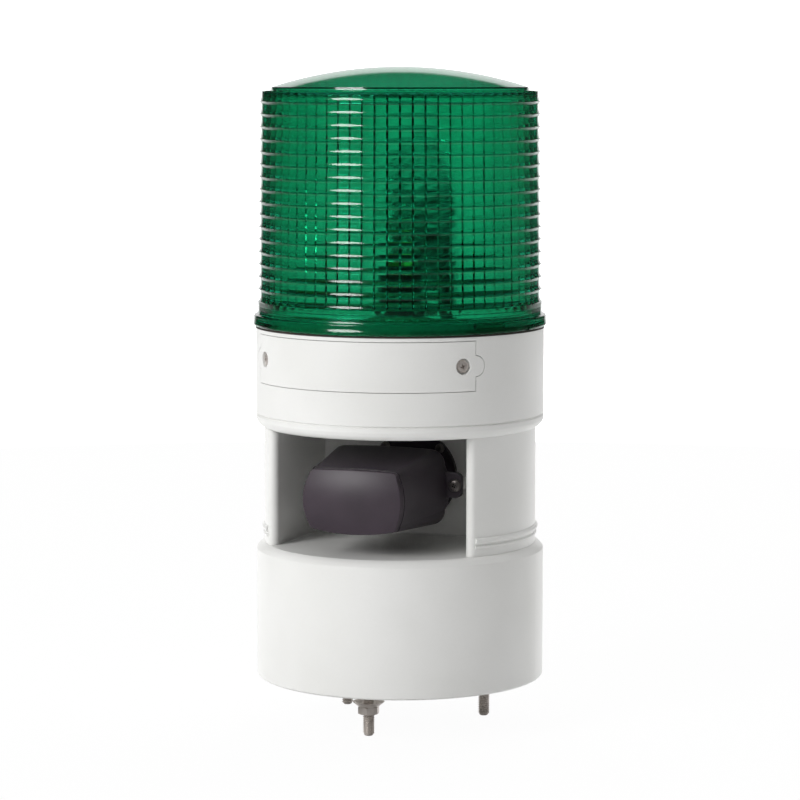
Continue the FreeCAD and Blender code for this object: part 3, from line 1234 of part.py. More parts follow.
def toothed(name, teeth, first_tooth):
    wheel = doc.addObject("Part::Feature", name)
    wheel.Shape = gear_face(teeth, first_tooth).extrude(Vector(0, 0, sheet.gear_width))
    return wheel


def rotor():
    bore = f"({bush_radius} + dim.shaft_gap)"
    ring_low = f"({hub_top} + 2 * dim.shaft_gap)"
    ring_top = f"({ring_low} + dim.ring_height)"
    groove = f"({bush_radius} - dim.ring_bite)"
    bush_top = f"({ring_top} + dim.ring_height)"
    flange_top = f"{deck_top} + dim.bush_flange_height"
    keep("rotor_bush", turned("rotor_bush", (
        (bush_bore, deck_top), ("dim.bush_flange_radius", deck_top), ("dim.bush_flange_radius", flange_top),
        (bush_radius, flange_top), (bush_radius, ring_low), (groove, ring_low), (groove, ring_top),
        (bush_radius, ring_top), (bush_radius, bush_top), (bush_bore, bush_top))))
    keep("retaining_ring", turned("retaining_ring", (
        (f"{groove} + dim.shaft_gap", ring_low), (f"{bush_radius} + dim.ring_reach", ring_low),
        (f"{bush_radius} + dim.ring_reach", ring_top), (f"{groove} + dim.shaft_gap", ring_top))))
    motor_direction = math.radians(sheet.motor_angle)
    teeth = place(toothed("gear_teeth", gear_teeth, motor_direction), z=gear_low)
    hub = rod("gear_hub", f"{bore} + dim.hub_wall", "dim.hub_height", z=gear_low)
    hole = rod("gear_bore", bore, "3 * dim.hub_height", z=f"{gear_low} - dim.hub_height")
    keep("rotor_gear", less("rotor_gear", joined("gear_blank", teeth, hub), hole))

    vertex, skin = "dim.focal_length", "dim.reflector_thickness"
    upright = f"({vertex} + {skin} + dim.fit_gap)"
    outer = f"({upright} + dim.bracket_thickness)"
    foot = f"({bore} + dim.hub_wall + dim.bracket_gap)"
    rivet_hole = "dim.rivet_radius + dim.thread_gap"
    bracket_top = "dim.reflector_level + 0.5 * dim.bracket_width"
    bent = padded("bracket_strip", (
        (foot, gear_top), (outer, gear_top), (outer, bracket_top), (upright, bracket_top),
        (upright, f"{gear_top} + dim.bracket_thickness"),
        (foot, f"{gear_top} + dim.bracket_thickness")), "dim.bracket_width", "XZ_Plane")
    hole = rod("bracket_hole", rivet_hole, "3 * dim.focal_length", z="dim.reflector_level", heading="right")
    keep("reflector_bracket", place(less("reflector_bracket", bent, hole), turn="dim.reflector_angle"))

    rim = "dim.reflector_radius"

    def dish(radius):
        return f"{vertex} - ({radius}) ^ 2 / 4 / {vertex}"

    bowl = place(turned(
        "reflector_bowl",
        ((vertex, rivet_hole), (dish(rim), rim), (f"{dish(rim)} + 0.78 * {skin}", f"{rim} + 0.63 * {skin}"),
         (f"{vertex} + {skin}", rivet_hole)),
        {0: (dish(f"0.55 * {rim}"), f"0.55 * {rim}"),
         2: (f"{dish(f'0.55 * {rim}')} + 0.91 * {skin}", f"0.55 * {rim} + 0.41 * {skin}")},
        axis="H_Axis"), z="dim.reflector_level")
    trim = box("reflector_trim", ("-2 * dim.reflector_radius", "2 * dim.reflector_radius"),
               ("-2 * dim.reflector_radius", "2 * dim.reflector_radius"),
               ("dim.reflector_level - 2 * dim.reflector_radius", "dim.reflector_foot_level"))
    keep("reflector", place(less("reflector", bowl, trim), turn="dim.reflector_angle"))
    head = "dim.rivet_head_height"
    rivet = place(turned("rivet_form", (
        (f"{vertex} - {head}", 0), (f"{vertex} - {head}", "0.6 * dim.rivet_head_radius"),
        (f"{vertex} - 0.3 * {head}", "dim.rivet_head_radius"),
        (f"{vertex} - 0.15 * {head}", "dim.rivet_head_radius"),
        (f"{vertex} - 0.15 * {head}", "dim.rivet_radius"), (outer, "dim.rivet_radius"),
        (outer, "0.8 * dim.rivet_head_radius"), (f"{outer} + {head}", "0.5 * dim.rivet_head_radius"),
        (f"{outer} + {head}", 0)), axis="H_Axis"), z="dim.reflector_level")
    keep("reflector_rivet", place(grouped("reflector_rivet", [rivet]), turn="dim.reflector_angle"))


def motor_drive():
    top = band_top
    case = rod("motor_case", "dim.motor_radius", "dim.motor_length", motor_x, motor_y,
               f"{top} - dim.motor_length")
    shaft_low = f"{top} - dim.motor_shaft_depth"
    bearing = rod("motor_bearing", "dim.motor_shaft_radius + dim.shaft_gap", "2 * dim.motor_shaft_depth",
                  motor_x, motor_y, f"{shaft_low} - dim.running_gap")
    pilot = rod("motor_pilot", "dim.motor_screw_radius + dim.thread_gap", "2 * dim.motor_screw_grip")
    keep("drive_motor", less("drive_motor", case, bearing,
                             *at_motor_screws(pilot, f"{top} - dim.motor_screw_grip")))
    shaft_top = f"{gear_top} + dim.motor_shaft_stand"
    keep("motor_shaft", rod("motor_shaft", "dim.motor_shaft_radius", f"{shaft_top} - ({shaft_low})",
                            motor_x, motor_y, shaft_low))
    first = math.radians(sheet.motor_angle) + math.pi + math.pi / pinion_teeth
    teeth = place(toothed("pinion_teeth", pinion_teeth, first), motor_x, motor_y, gear_low)
    bore = rod("pinion_bore", "dim.motor_shaft_radius + dim.press_gap", "3 * dim.gear_width", motor_x,
               motor_y,
               f"{gear_low} - dim.gear_width")
    keep("motor_pinion", less("motor_pinion", teeth, bore))
    fixing = screw("motor_screw", "dim.motor_screw_head_radius", "dim.motor_screw_head_height",
                   "dim.motor_screw_radius", "(dim.motor_screw_grip + dim.deck_thickness - dim.fit_gap)")
    keep("motor_screws", grouped("motor_screws", at_motor_screws(fixing, deck_top)))


base()
base_plate()
studs()
cable_grommet()
power_supply()
horn_housing()
housing_fixings()
horn_cup()
horn_driver()
upper_housing()
access_cover()
controls()
lens()
lamp()
rotor()
motor_drive()
doc.recompute()

# Every object has to be sound before anything is written
for item in doc.Objects:
    faults = [state for state in item.State if state in ("Invalid", "Error")]
    if faults:
        raise RuntimeError(f"{item.Name}: {faults}")
for name, item in nodes.items():
    if item.Shape.isNull() or not item.Shape.isValid() or not item.Shape.Solids:
        raise RuntimeError(f"{name} has no sound solid")

os.makedirs("parts", exist_ok=True)
for name, item in nodes.items():
    item.Shape.exportStep(os.path.join("parts", name + ".step"))
    print(f"{name}: {len(item.Shape.Solids)} solid(s), {item.Shape.Volume:.1f} mm3")
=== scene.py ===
import json
import math

import bmesh
import bpy
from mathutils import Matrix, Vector


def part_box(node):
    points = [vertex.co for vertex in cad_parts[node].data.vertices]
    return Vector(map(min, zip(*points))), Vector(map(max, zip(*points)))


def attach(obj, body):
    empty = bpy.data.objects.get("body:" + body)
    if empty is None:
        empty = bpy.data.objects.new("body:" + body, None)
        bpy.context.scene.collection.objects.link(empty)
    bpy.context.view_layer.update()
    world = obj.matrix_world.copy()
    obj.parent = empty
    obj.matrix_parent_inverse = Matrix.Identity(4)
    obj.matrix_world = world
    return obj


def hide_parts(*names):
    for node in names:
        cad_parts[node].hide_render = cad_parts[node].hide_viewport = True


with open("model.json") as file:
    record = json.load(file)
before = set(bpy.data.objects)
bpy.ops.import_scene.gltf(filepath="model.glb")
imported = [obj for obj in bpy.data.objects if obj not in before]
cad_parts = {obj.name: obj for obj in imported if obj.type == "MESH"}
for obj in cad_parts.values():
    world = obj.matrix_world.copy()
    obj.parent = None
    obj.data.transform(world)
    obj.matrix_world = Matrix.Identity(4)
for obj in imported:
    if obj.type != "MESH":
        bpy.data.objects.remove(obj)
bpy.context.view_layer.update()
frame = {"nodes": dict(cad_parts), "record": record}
nodes = frame["nodes"]
mm = 0.001
weldGap = 0.002 * mm    # points nearer than this are one
print("frame loaded:", len(nodes), "nodes")


# small helpers for selecting and shaping

def clearSelection():
    if bpy.context.mode != "OBJECT":
        bpy.ops.object.mode_set(mode="OBJECT")
    bpy.ops.object.select_all(action="DESELECT")


def pickOnly(*pieces):
    clearSelection()
    for piece in pieces:
        piece.select_set(True)
    bpy.context.view_layer.objects.active = pieces[0]


def editPiece(piece, selectKind):
    pickOnly(piece)
    bpy.ops.object.mode_set(mode="EDIT")
    bpy.ops.mesh.select_mode(type=selectKind)
    bpy.ops.mesh.select_all(action="DESELECT")


def pickVertices(piece, test):
    bpy.ops.mesh.select_all(action="DESELECT")
    shape = bmesh.from_edit_mesh(piece.data)
    for vertex in shape.verts:
        vertex.select = test(vertex.co)
    shape.select_flush(True)
    bmesh.update_edit_mesh(piece.data)


def pickFaces(piece, test):
    bpy.ops.mesh.select_all(action="DESELECT")
    shape = bmesh.from_edit_mesh(piece.data)
    for face in shape.faces:
        face.select = test(face.calc_center_median(), face.normal)
    shape.select_flush(True)
    bmesh.update_edit_mesh(piece.data)


def closeSkin():
    bpy.ops.mesh.select_all(action="SELECT")
    bpy.ops.mesh.remove_doubles(threshold=weldGap)
    bpy.ops.mesh.normals_make_consistent(inside=False)
    bpy.ops.object.mode_set(mode="OBJECT")


def smoothBy(piece, degrees):
    pickOnly(piece)
    bpy.ops.object.shade_smooth_by_angle(angle=math.radians(degrees))


def oneVertex(name):
    clearSelection()
    bpy.ops.mesh.primitive_plane_add(size=mm, location=(0, 0, 0))
    piece = bpy.context.object
    piece.name = piece.data.name = name
    bpy.ops.object.mode_set(mode="EDIT")
    bpy.ops.mesh.select_mode(type="VERT")
    bpy.ops.mesh.select_all(action="SELECT")
    bpy.ops.mesh.merge(type="CENTER")
    return piece


def drawLine(name, profile):    # profile in mm, (radius, height), in the XZ plane
    piece = oneVertex(name)
    lastRadius, lastHeight = 0, 0
    for index, (radius, height) in enumerate(profile):
        step = ((radius - lastRadius) * mm, 0, (height - lastHeight) * mm)
        if index == 0:
            bpy.ops.transform.translate(value=step)
        else:
            bpy.ops.mesh.extrude_vertices_move(TRANSFORM_OT_translate={"value": step})
        lastRadius, lastHeight = radius, height
    return piece


def turnPiece(name, profile, steps):
    piece = drawLine(name, profile)
    bpy.ops.mesh.select_all(action="SELECT")
    bpy.ops.mesh.spin(steps=steps, angle=2 * math.pi, center=(0, 0, 0), axis=(0, 0, 1))
    closeSkin()
    return piece


def applyModifier(piece, kind, **settings):
    pickOnly(piece)
    modifier = piece.modifiers.new(kind.lower(), kind)
    for key, value in settings.items():
        setattr(modifier, key, value)
    bpy.ops.object.modifier_apply(modifier=modifier.name)


def windPiece(name, outline, pitch, turns, steps):    # a closed outline wound up the Z axis, its two ends filled
    piece = drawLine(name, outline)
    bpy.ops.mesh.select_all(action="SELECT")
    bpy.ops.mesh.remove_doubles(threshold=weldGap)
    bpy.ops.object.mode_set(mode="OBJECT")
    applyModifier(piece, "SCREW", axis="Z", screw_offset=pitch * mm, iterations=turns, steps=steps,
                  render_steps=steps, use_merge_vertices=False, use_smooth_shade=False)
    editPiece(piece, "EDGE")
    bpy.ops.mesh.select_non_manifold(extend=False)
    bpy.ops.mesh.fill()
    closeSkin()
    return piece


def applyPlace():    # the picked piece's place, turn and size go into its mesh
    bpy.ops.object.transform_apply(location=True, rotation=True, scale=True)


def placedCopy(source, name, turn, place):    # a copy with its own mesh
    pickOnly(source)
    bpy.ops.object.duplicate()
    piece = bpy.context.object
    piece.name = piece.data.name = name
    piece.rotation_euler = turn
    piece.location = place
    applyPlace()
    return piece


def joinPieces(name, pieces):
    pickOnly(*pieces)
    bpy.ops.object.join()
    piece = bpy.context.object
    piece.name = piece.data.name = name
    return piece


def dropPiece(piece):
    pickOnly(piece)
    bpy.ops.object.delete()


def spreadCopies(source, name, places):    # copies at each (turn, place), joined; the source is used up
    copies = []
    for index, (turn, place) in enumerate(places):
        copies.append(placedCopy(source, f"{source.name}{index}", turn, place))
    dropPiece(source)
    return joinPieces(name, copies)


def cutBy(piece, tool, operation):    # the tool is used up
    applyModifier(piece, "BOOLEAN", object=tool, operation=operation, solver="EXACT")
    dropPiece(tool)


def arcPoints(centre, radius, fromAngle, toAngle, count):    # (radius, height) points, degrees
    points = []
    for step in range(count + 1):
        angle = math.radians(fromAngle + (toAngle - fromAngle) * step / count)
        points.append((centre[0] + radius * math.cos(angle), centre[1] + radius * math.sin(angle)))
    return points


def stepPoints(radius, height, form):    # points at each (out, up) from one place
    return [(radius + out, height + up) for out, up in form]


def onCircle(radius, degrees, level):    # sizes in mm, the place in metres
    turn = math.radians(degrees)
    return (math.cos(turn) * radius * mm, math.sin(turn) * radius * mm, level * mm)


# colours and nodes

def hexColour(text):
    parts = [int(text[start:start + 2], 16) / 255 for start in (1, 3, 5)]
    linear = [part / 12.92 if part <= 0.04045 else ((part + 0.055) / 1.055) ** 2.4 for part in parts]
    return (*linear, 1.0)


def addNode(tree, kind, settings=None, links=None):
    node = tree.nodes.new(kind)
    for key, value in (settings or {}).items():
        if isinstance(key, str) and hasattr(node, key):
            setattr(node, key, value)
        else:
            node.inputs[key].default_value = value
    for key, source in (links or {}).items():
        tree.links.new(source, node.inputs[key])
    return node


def startMaterial(name, settings):
    material = bpy.data.materials.new(name)
    material.use_nodes = True
    tree = material.node_tree
    tree.nodes.clear()
    shader = addNode(tree, "ShaderNodeBsdfPrincipled", settings)
    addNode(tree, "ShaderNodeOutputMaterial", links={"Surface": shader.outputs[0]})
    return material, tree, shader


# what the finishes share: the ranges that a noise mostly keeps to, how finely it is drawn, and usual shares
finishBase = {"noiseRange": (0.3, 0.7), "toneRange": (0.35, 0.65), "grainShare": 0.35, "cloudDetail": 2.0,
              "grainDetail": 3.0, "grainRough": 0.6, "lineDetail": 1.0, "wobble": 0.6, "coatRough": 0.15,
              "edgeSamples": 6}


def finishMaterial(look):
    shaderSettings = {"Metallic": look.get("metallic", 0.0)}
    if "ior" in look:
        shaderSettings["IOR"] = look["ior"]
    if "coat" in look:
        shaderSettings["Coat Weight"] = look["coat"]
        shaderSettings["Coat Roughness"] = finishBase["coatRough"]
    material, tree, shader = startMaterial(look["name"], shaderSettings)
    coord = addNode(tree, "ShaderNodeTexCoord")
    cloud = addNode(tree, "ShaderNodeTexNoise", {
        "Scale": 1000 / look["cloudSize"], "Detail": finishBase["cloudDetail"]}, {"Vector": coord.outputs["Object"]})
    turned = addNode(tree, "ShaderNodeMapping", {"Scale": look.get("stretch", (1, 1, 1))},
                     {"Vector": coord.outputs["Object"]})
    if "lines" in look:    # even bands, such as wire turns; a wave repeats every pi / 10 / Scale metres
        grain = addNode(tree, "ShaderNodeTexWave", {
            "bands_direction": look["lines"], "Scale": 100 * math.pi / look["grainSize"],
            "Distortion": look.get("wobble", finishBase["wobble"]), "Detail": finishBase["lineDetail"]},
            {"Vector": turned.outputs[0]})
    else:
        grain = addNode(tree, "ShaderNodeTexNoise", {
            "Scale": 1000 / look["grainSize"], "Detail": finishBase["grainDetail"],
            "Roughness": finishBase["grainRough"]}, {"Vector": turned.outputs[0]})
    grainHeight = grain.outputs["Fac"]
    grainShare = look.get("grainShare", finishBase["grainShare"])
    toneLow, toneHigh = finishBase["toneRange"]
    share = addNode(tree, "ShaderNodeMath", {"operation": "MULTIPLY_ADD", 1: grainShare},
                    {0: grainHeight, 2: cloud.outputs["Fac"]})
    tone = addNode(tree, "ShaderNodeMapRange", {"From Min": toneLow, "From Max": toneHigh + grainShare},
                   {"Value": share.outputs[0]})
    colour = addNode(tree, "ShaderNodeMix", {
        "data_type": "RGBA", 6: hexColour(look["darker"]), 7: hexColour(look["paler"])}, {0: tone.outputs[0]})
    rough = addNode(tree, "ShaderNodeMapRange", {
        "From Min": finishBase["noiseRange"][0], "From Max": finishBase["noiseRange"][1],
        "To Min": look["rough"][0], "To Max": look["rough"][1]}, {"Value": grainHeight})
    bump = addNode(tree, "ShaderNodeBump", {"Strength": look["bump"], "Distance": look["bumpDepth"] * mm},
                   {"Height": grainHeight})
    if "edge" in look:    # mould edges are never knife sharp
        rounding = addNode(tree, "ShaderNodeBevel", {"samples": finishBase["edgeSamples"], "Radius": look["edge"] * mm})
        tree.links.new(rounding.outputs[0], bump.inputs["Normal"])
    tree.links.new(colour.outputs[2], shader.inputs["Base Color"])
    tree.links.new(rough.outputs[0], shader.inputs["Roughness"])
    tree.links.new(bump.outputs[0], shader.inputs["Normal"])
    return material


# Finishes, sizes in mm. grainSize is the fine pattern, cloudSize the slow change of tone.
# Each is named for its slot; horn_cap, steel_dark and filament are for single pieces that differ from their slot.
looks = {
    # moulded ABS, satin: an even warm white with a faint orange peel that softens its gloss
    "housing_white": {"name": "mouldedAbs", "paler": "#ececea", "darker": "#e4e4e1", "rough": (0.3, 0.38),
                      "ior": 1.53, "cloudSize": 60, "grainSize": 1.6, "grainShare": 0.15, "bump": 0.05,
                      "bumpDepth": 0.1, "edge": 0.45},
    # moulded polypropylene with an eroded mould skin: a plum tinted dark grey with a dull sheen, painted darker than
    # the cap as painted shade where the cup sits in the recess
    "horn_dark": {"name": "erodedPolypropylene", "paler": "#3b333b", "darker": "#2d272e", "rough": (0.35, 0.45),
                  "ior": 1.49, "cloudSize": 25, "grainSize": 0.7, "bump": 0.14, "bumpDepth": 0.12, "edge": 1.2},
    # polypropylene of the cap, the same plastic as the cup: painted paler than the cup as painted light on its lit
    # front, with a broad soft sheen along its rounded top edge
    "horn_cap": {"name": "litPaintedPolypropylene", "paler": "#463c45", "darker": "#372f37", "rough": (0.38, 0.48),
                 "ior": 1.49, "cloudSize": 25, "grainSize": 0.7, "bump": 0.14, "bumpDepth": 0.12, "edge": 0.9},
    # screws in the recess: zinc plated steel painted dark as painted shade for the recess, with a small bright glint
    "steel_dark": {"name": "shadeDarkenedSteel", "paler": "#8a8582", "darker": "#625e5b", "rough": (0.25, 0.38),
                   "metallic": 0.85, "cloudSize": 4, "grainSize": 0.5, "bump": 0.08, "bumpDepth": 0.05,
                   "edge": 0.12},
    # glass filled nylon, black: matt with a fine sparkle of fibre ends
    "plastic_black": {"name": "glassFilledNylon", "paler": "#2b2b2c", "darker": "#1c1c1d", "rough": (0.45, 0.6),
                      "ior": 1.53, "cloudSize": 15, "grainSize": 0.5, "bump": 0.2, "bumpDepth": 0.1, "edge": 0.3},
    # powder coated steel strip: black with the pebbled skin of fused powder
    "bracket_black": {"name": "powderCoatedSteel", "paler": "#27282a", "darker": "#191a1b", "rough": (0.4, 0.55),
                      "ior": 1.5, "cloudSize": 18, "grainSize": 0.9, "bump": 0.25, "bumpDepth": 0.12,
                      "edge": 0.25},
    # moulded EPDM rubber: brown black and chalky, with no clear highlight
    "rubber_black": {"name": "mouldedEpdm", "paler": "#3a332e", "darker": "#272320", "rough": (0.7, 0.85),
                     "ior": 1.52, "cloudSize": 12, "grainSize": 0.6, "bump": 0.2, "bumpDepth": 0.1, "edge": 0.2},
    # zinc plated steel under a dull clear passivate: pale warm grey metal, slightly cloudy from the plating bath
    "steel_zinc": {"name": "zincPlatedSteel", "paler": "#e8e0da", "darker": "#cbc3bc", "rough": (0.3, 0.45),
                   "metallic": 0.6, "cloudSize": 4, "grainSize": 0.5, "bump": 0.08, "bumpDepth": 0.05,
                   "edge": 0.12},
    # stacked core plates of silicon steel: dark grey with the plate edges as fine lines, 0.5 mm drawn as 1 mm to show
    "core_steel": {"name": "laminatedSiliconSteel", "paler": "#8a8a8c", "darker": "#5f5f62",
                   "rough": (0.35, 0.55), "metallic": 1.0, "cloudSize": 10, "grainSize": 1.0, "lines": "Y",
                   "bump": 0.3, "bumpDepth": 0.1},
    # drawn steel can, nickel flashed: brushed along its length
    "motor_steel": {"name": "nickelFlashedSteel", "paler": "#c3c3c1", "darker": "#a5a5a4", "rough": (0.25, 0.4),
                    "metallic": 1.0, "cloudSize": 14, "grainSize": 0.6, "stretch": (1, 1, 0.08), "bump": 0.1,
                    "bumpDepth": 0.04, "edge": 0.3},
    # enamelled copper wire: red brown turns under clear lacquer, 0.5 mm wire drawn as 0.8 mm to show
    "winding_copper": {"name": "enamelledCopper", "paler": "#b4632f", "darker": "#7c3d1c", "rough": (0.25, 0.4),
                       "metallic": 0.8, "coat": 0.4, "cloudSize": 9, "grainSize": 0.8, "lines": "Z",
                       "wobble": 0.3, "bump": 0.5, "bumpDepth": 0.2},
    # turned brass: warm yellow metal with faint tool rings
    "cap_brass": {"name": "turnedBrass", "paler": "#d3b468", "darker": "#b39247", "rough": (0.22, 0.35),
                  "metallic": 1.0, "cloudSize": 6, "grainSize": 0.6, "lines": "Z", "wobble": 0.2, "bump": 0.06,
                  "bumpDepth": 0.03, "edge": 0.15},
    # sintered ferrite: charcoal ceramic, ground dull
    "magnet_ferrite": {"name": "sinteredFerrite", "paler": "#4a4a4d", "darker": "#343437", "rough": (0.55, 0.7),
                       "ior": 2.2, "cloudSize": 8, "grainSize": 0.4, "bump": 0.25, "bumpDepth": 0.08, "edge": 0.3},
    # phenolic treated cloth: amber brown with a thread pattern
    "diaphragm_film": {"name": "phenolicCloth", "paler": "#8d7350", "darker": "#6b5436", "rough": (0.4, 0.55),
                       "ior": 1.6, "cloudSize": 6, "grainSize": 0.7, "lines": "X", "bump": 0.2, "bumpDepth": 0.08},
    # epoxy glass board under green solder mask: satin green, woven glass just showing
    "board_green": {"name": "solderMaskedBoard", "paler": "#2b6a45", "darker": "#1d5233", "rough": (0.28, 0.42),
                    "ior": 1.55, "cloudSize": 9, "grainSize": 0.9, "lines": "X", "wobble": 0.2, "bump": 0.08,
                    "bumpDepth": 0.04},
    # moulded polyamide: mid grey, fine eroded skin
    "terminal_grey": {"name": "mouldedPolyamide", "paler": "#b4b6b8", "darker": "#9fa1a4", "rough": (0.4, 0.52),
                      "ior": 1.53, "cloudSize": 9, "grainSize": 0.6, "bump": 0.15, "bumpDepth": 0.08,
                      "edge": 0.25},
    # moulded acetal: slippery white, a little blue in its shade
    "dial_white": {"name": "mouldedAcetal", "paler": "#f1f1ef", "darker": "#e3e4e4", "rough": (0.25, 0.33),
                   "ior": 1.48, "cloudSize": 5, "grainSize": 0.5, "bump": 0.08, "bumpDepth": 0.05, "edge": 0.2},
    # moulded polycarbonate, grey: the satin plate that carries the lamp
    "deck_grey": {"name": "mouldedGreyPolycarbonate", "paler": "#a9adb0", "darker": "#95999d",
                  "rough": (0.38, 0.5), "ior": 1.58, "cloudSize": 20, "grainSize": 0.9, "bump": 0.12,
                  "bumpDepth": 0.08, "edge": 0.3},
    # cut nylon gear: milky off white, dull flanks
    "gear_nylon": {"name": "machinedNylon", "paler": "#e8e2d0", "darker": "#d6cfba", "rough": (0.4, 0.52),
                   "ior": 1.53, "cloudSize": 12, "grainSize": 0.7, "bump": 0.12, "bumpDepth": 0.06, "edge": 0.15},
    # spun aluminium, vacuum metallised: a bright mirror with a faint ripple
    "reflector_mirror": {"name": "metallisedAluminium", "paler": "#eceff0", "darker": "#dde1e3",
                         "rough": (0.05, 0.1), "metallic": 1.0, "cloudSize": 25, "grainSize": 1.2, "bump": 0.03,
                         "bumpDepth": 0.03},
    # aluminium rivet: soft grey metal with a hammered head
    "rivet_aluminium": {"name": "formedAluminium", "paler": "#c6c8ca", "darker": "#a9acae", "rough": (0.3, 0.42),
                        "metallic": 1.0, "cloudSize": 3, "grainSize": 0.6, "bump": 0.2, "bumpDepth": 0.06},
    # drawn tungsten: dark steel grey wire
    "filament": {"name": "drawnTungsten", "paler": "#8b8b8d", "darker": "#6d6d70", "rough": (0.35, 0.5),
                 "metallic": 1.0, "cloudSize": 2, "grainSize": 0.4, "bump": 0.1, "bumpDepth": 0.03},
}
materials = {}
for slotName, look in looks.items():
    materials[slotName] = finishMaterial(look)

# moulded polycarbonate, tinted green through: clear and hard, deeper where the wall is thick
lensLook = {"name": "tintedPolycarbonate", "tint": "#92dcc0", "depth": "#26eee0", "density": 300.0, "ior": 1.586,
            "rough": (0.07, 0.13), "roughFrom": (0.3, 0.7), "speckSize": 0.6, "speckDetail": 2.0,
            "flowSize": 2.2, "flowDetail": 1.0, "bump": 0.06, "bumpDepth": 0.2}
# blown soda glass: clear, thin, a little wavy
bulbLook = {"name": "blownGlass", "tint": "#f4f7f5", "ior": 1.52,
            "rough": (0.01, 0.04), "roughFrom": (0.0, 1.0), "speckSize": 7.0, "speckDetail": 1.0,
            "flowSize": 7.0, "flowDetail": 1.0, "bump": 0.05, "bumpDepth": 0.2}


def clearMaterial(look):    # specks change the gloss and flow bends the surface
    material, tree, shader = startMaterial(look["name"], {
        "Base Color": hexColour(look["tint"]), "IOR": look["ior"], "Transmission Weight": 1.0})
    coord = addNode(tree, "ShaderNodeTexCoord")
    speck = addNode(tree, "ShaderNodeTexNoise", {"Scale": 1000 / look["speckSize"], "Detail": look["speckDetail"]},
                    {"Vector": coord.outputs["Object"]})
    flow = addNode(tree, "ShaderNodeTexNoise", {"Scale": 1000 / look["flowSize"], "Detail": look["flowDetail"]},
                   {"Vector": coord.outputs["Object"]})
    rough = addNode(tree, "ShaderNodeMapRange", {
        "From Min": look["roughFrom"][0], "From Max": look["roughFrom"][1],
        "To Min": look["rough"][0], "To Max": look["rough"][1]}, {"Value": speck.outputs["Fac"]})
    bump = addNode(tree, "ShaderNodeBump", {"Strength": look["bump"], "Distance": look["bumpDepth"] * mm},
                   {"Height": flow.outputs["Fac"]})
    tree.links.new(rough.outputs[0], shader.inputs["Roughness"])
    tree.links.new(bump.outputs[0], shader.inputs["Normal"])
    if "depth" in look:    # colour that grows with the thickness
        tinted = addNode(tree, "ShaderNodeVolumeAbsorption",
                         {"Color": hexColour(look["depth"]), "Density": look["density"]})
        output = next(node for node in tree.nodes if node.type == "OUTPUT_MATERIAL")
        tree.links.new(tinted.outputs[0], output.inputs["Volume"])
    return material


materials["lens_green"] = clearMaterial(lensLook)
materials["bulb_clear"] = clearMaterial(bulbLook)
print("finishes made:", len(materials))


def settle(piece, slotName, body, *replaced, material=None):
    piece.data.materials.clear()
    piece.data.materials.append(materials[material or slotName])
    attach(piece, body)
    if replaced:
        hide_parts(*replaced)


# the ribbed lens: one turned skin, grooved inside, with its lugs and its mark on the flange
# sizes in mm; a form is a row of (out, up) steps from the size that it stands beside
lensSizes = {
    "steps": 272, "smooth": 32, "slack": 0.1, "near": 0.3,
    "foot": 183.65, "footEdge": 0.7, "beadTop": 2.1, "beadEnd": 2.4, "beadStep": 0.18,
    "flangeRadius": 76.2, "flangeTop": 189.45, "flangeEdge": 1.0, "flangeDrop": 1.4,
    "radius": 73.9, "bandForm": ((0.5, 0.0), (0.1, 0.15), (-0.1, 0.6)),
    "lineCount": 2, "linePitch": 2.0, "lineForm": ((-0.1, 0.0), (-0.24, 0.2), (-0.1, 0.4)),
    "ribCount": 17, "ribsLow": 196.05, "ribPitch": 6.43, "ribStepIn": 0.06, "ribLand": 0.2,
    "ribFlare": 1.3, "ribRise": 2.9, "ribUnder": 1.25, "turnsUnder": (90, 55, 25), "turnsOver": (25, 50, 72, 90),
    "rimTop": 304.4, "rimForm": ((0.0, -0.3), (-0.5, 0.2)),
    "stepForm": ((3.0, 0.35), (0.6, 0.45), (0.15, 0.6), (0.0, 0.9)),
    "domeEdge": 66.6, "domeLow": 306.5, "domeForm": ((0.0, -0.3), (-0.08, -0.05)),
    "apex": 317.0, "domeBall": 216.47, "domeWall": 1.3, "domeSteps": 12,
    "ringPitch": 4.4, "ringsClear": 3.5, "ringForm": ((-0.9, 0.2), (-0.1, -0.1), (0.15, 0.15)),
    "wallTop": 302.6, "wallTopRadius": 67.3, "wallRadius": 69.3, "shoulderForm": ((0.2, 1.2),),
    "waveDepth": 0.25, "waveSteps": 3, "skirtRadius": 70.2, "skirtTop": 191.65, "skirtSlope": 2.6,
    "grooveCount": 68, "grooveDepth": 0.55, "grooveTurn": 0.87, "firstGroove": -0.18,
    "lugLow": 185.55, "lugHigh": 187.55, "lugReach": 2.2, "lugHalf": 7, "lugAngles": (90, 210, 330),
    "markAngle": -10.5, "markHalf": 1.1, "markDepth": 0.5,
}


def hollowCurve(tip, reach, rise, turns):    # points of a hollow from a sharp edge to the face behind it
    points = []
    for turn in turns:
        angle = math.radians(turn)
        points.append((tip[0] - reach * math.sin(angle), tip[1] + rise * (1 - math.cos(angle))))
    return points


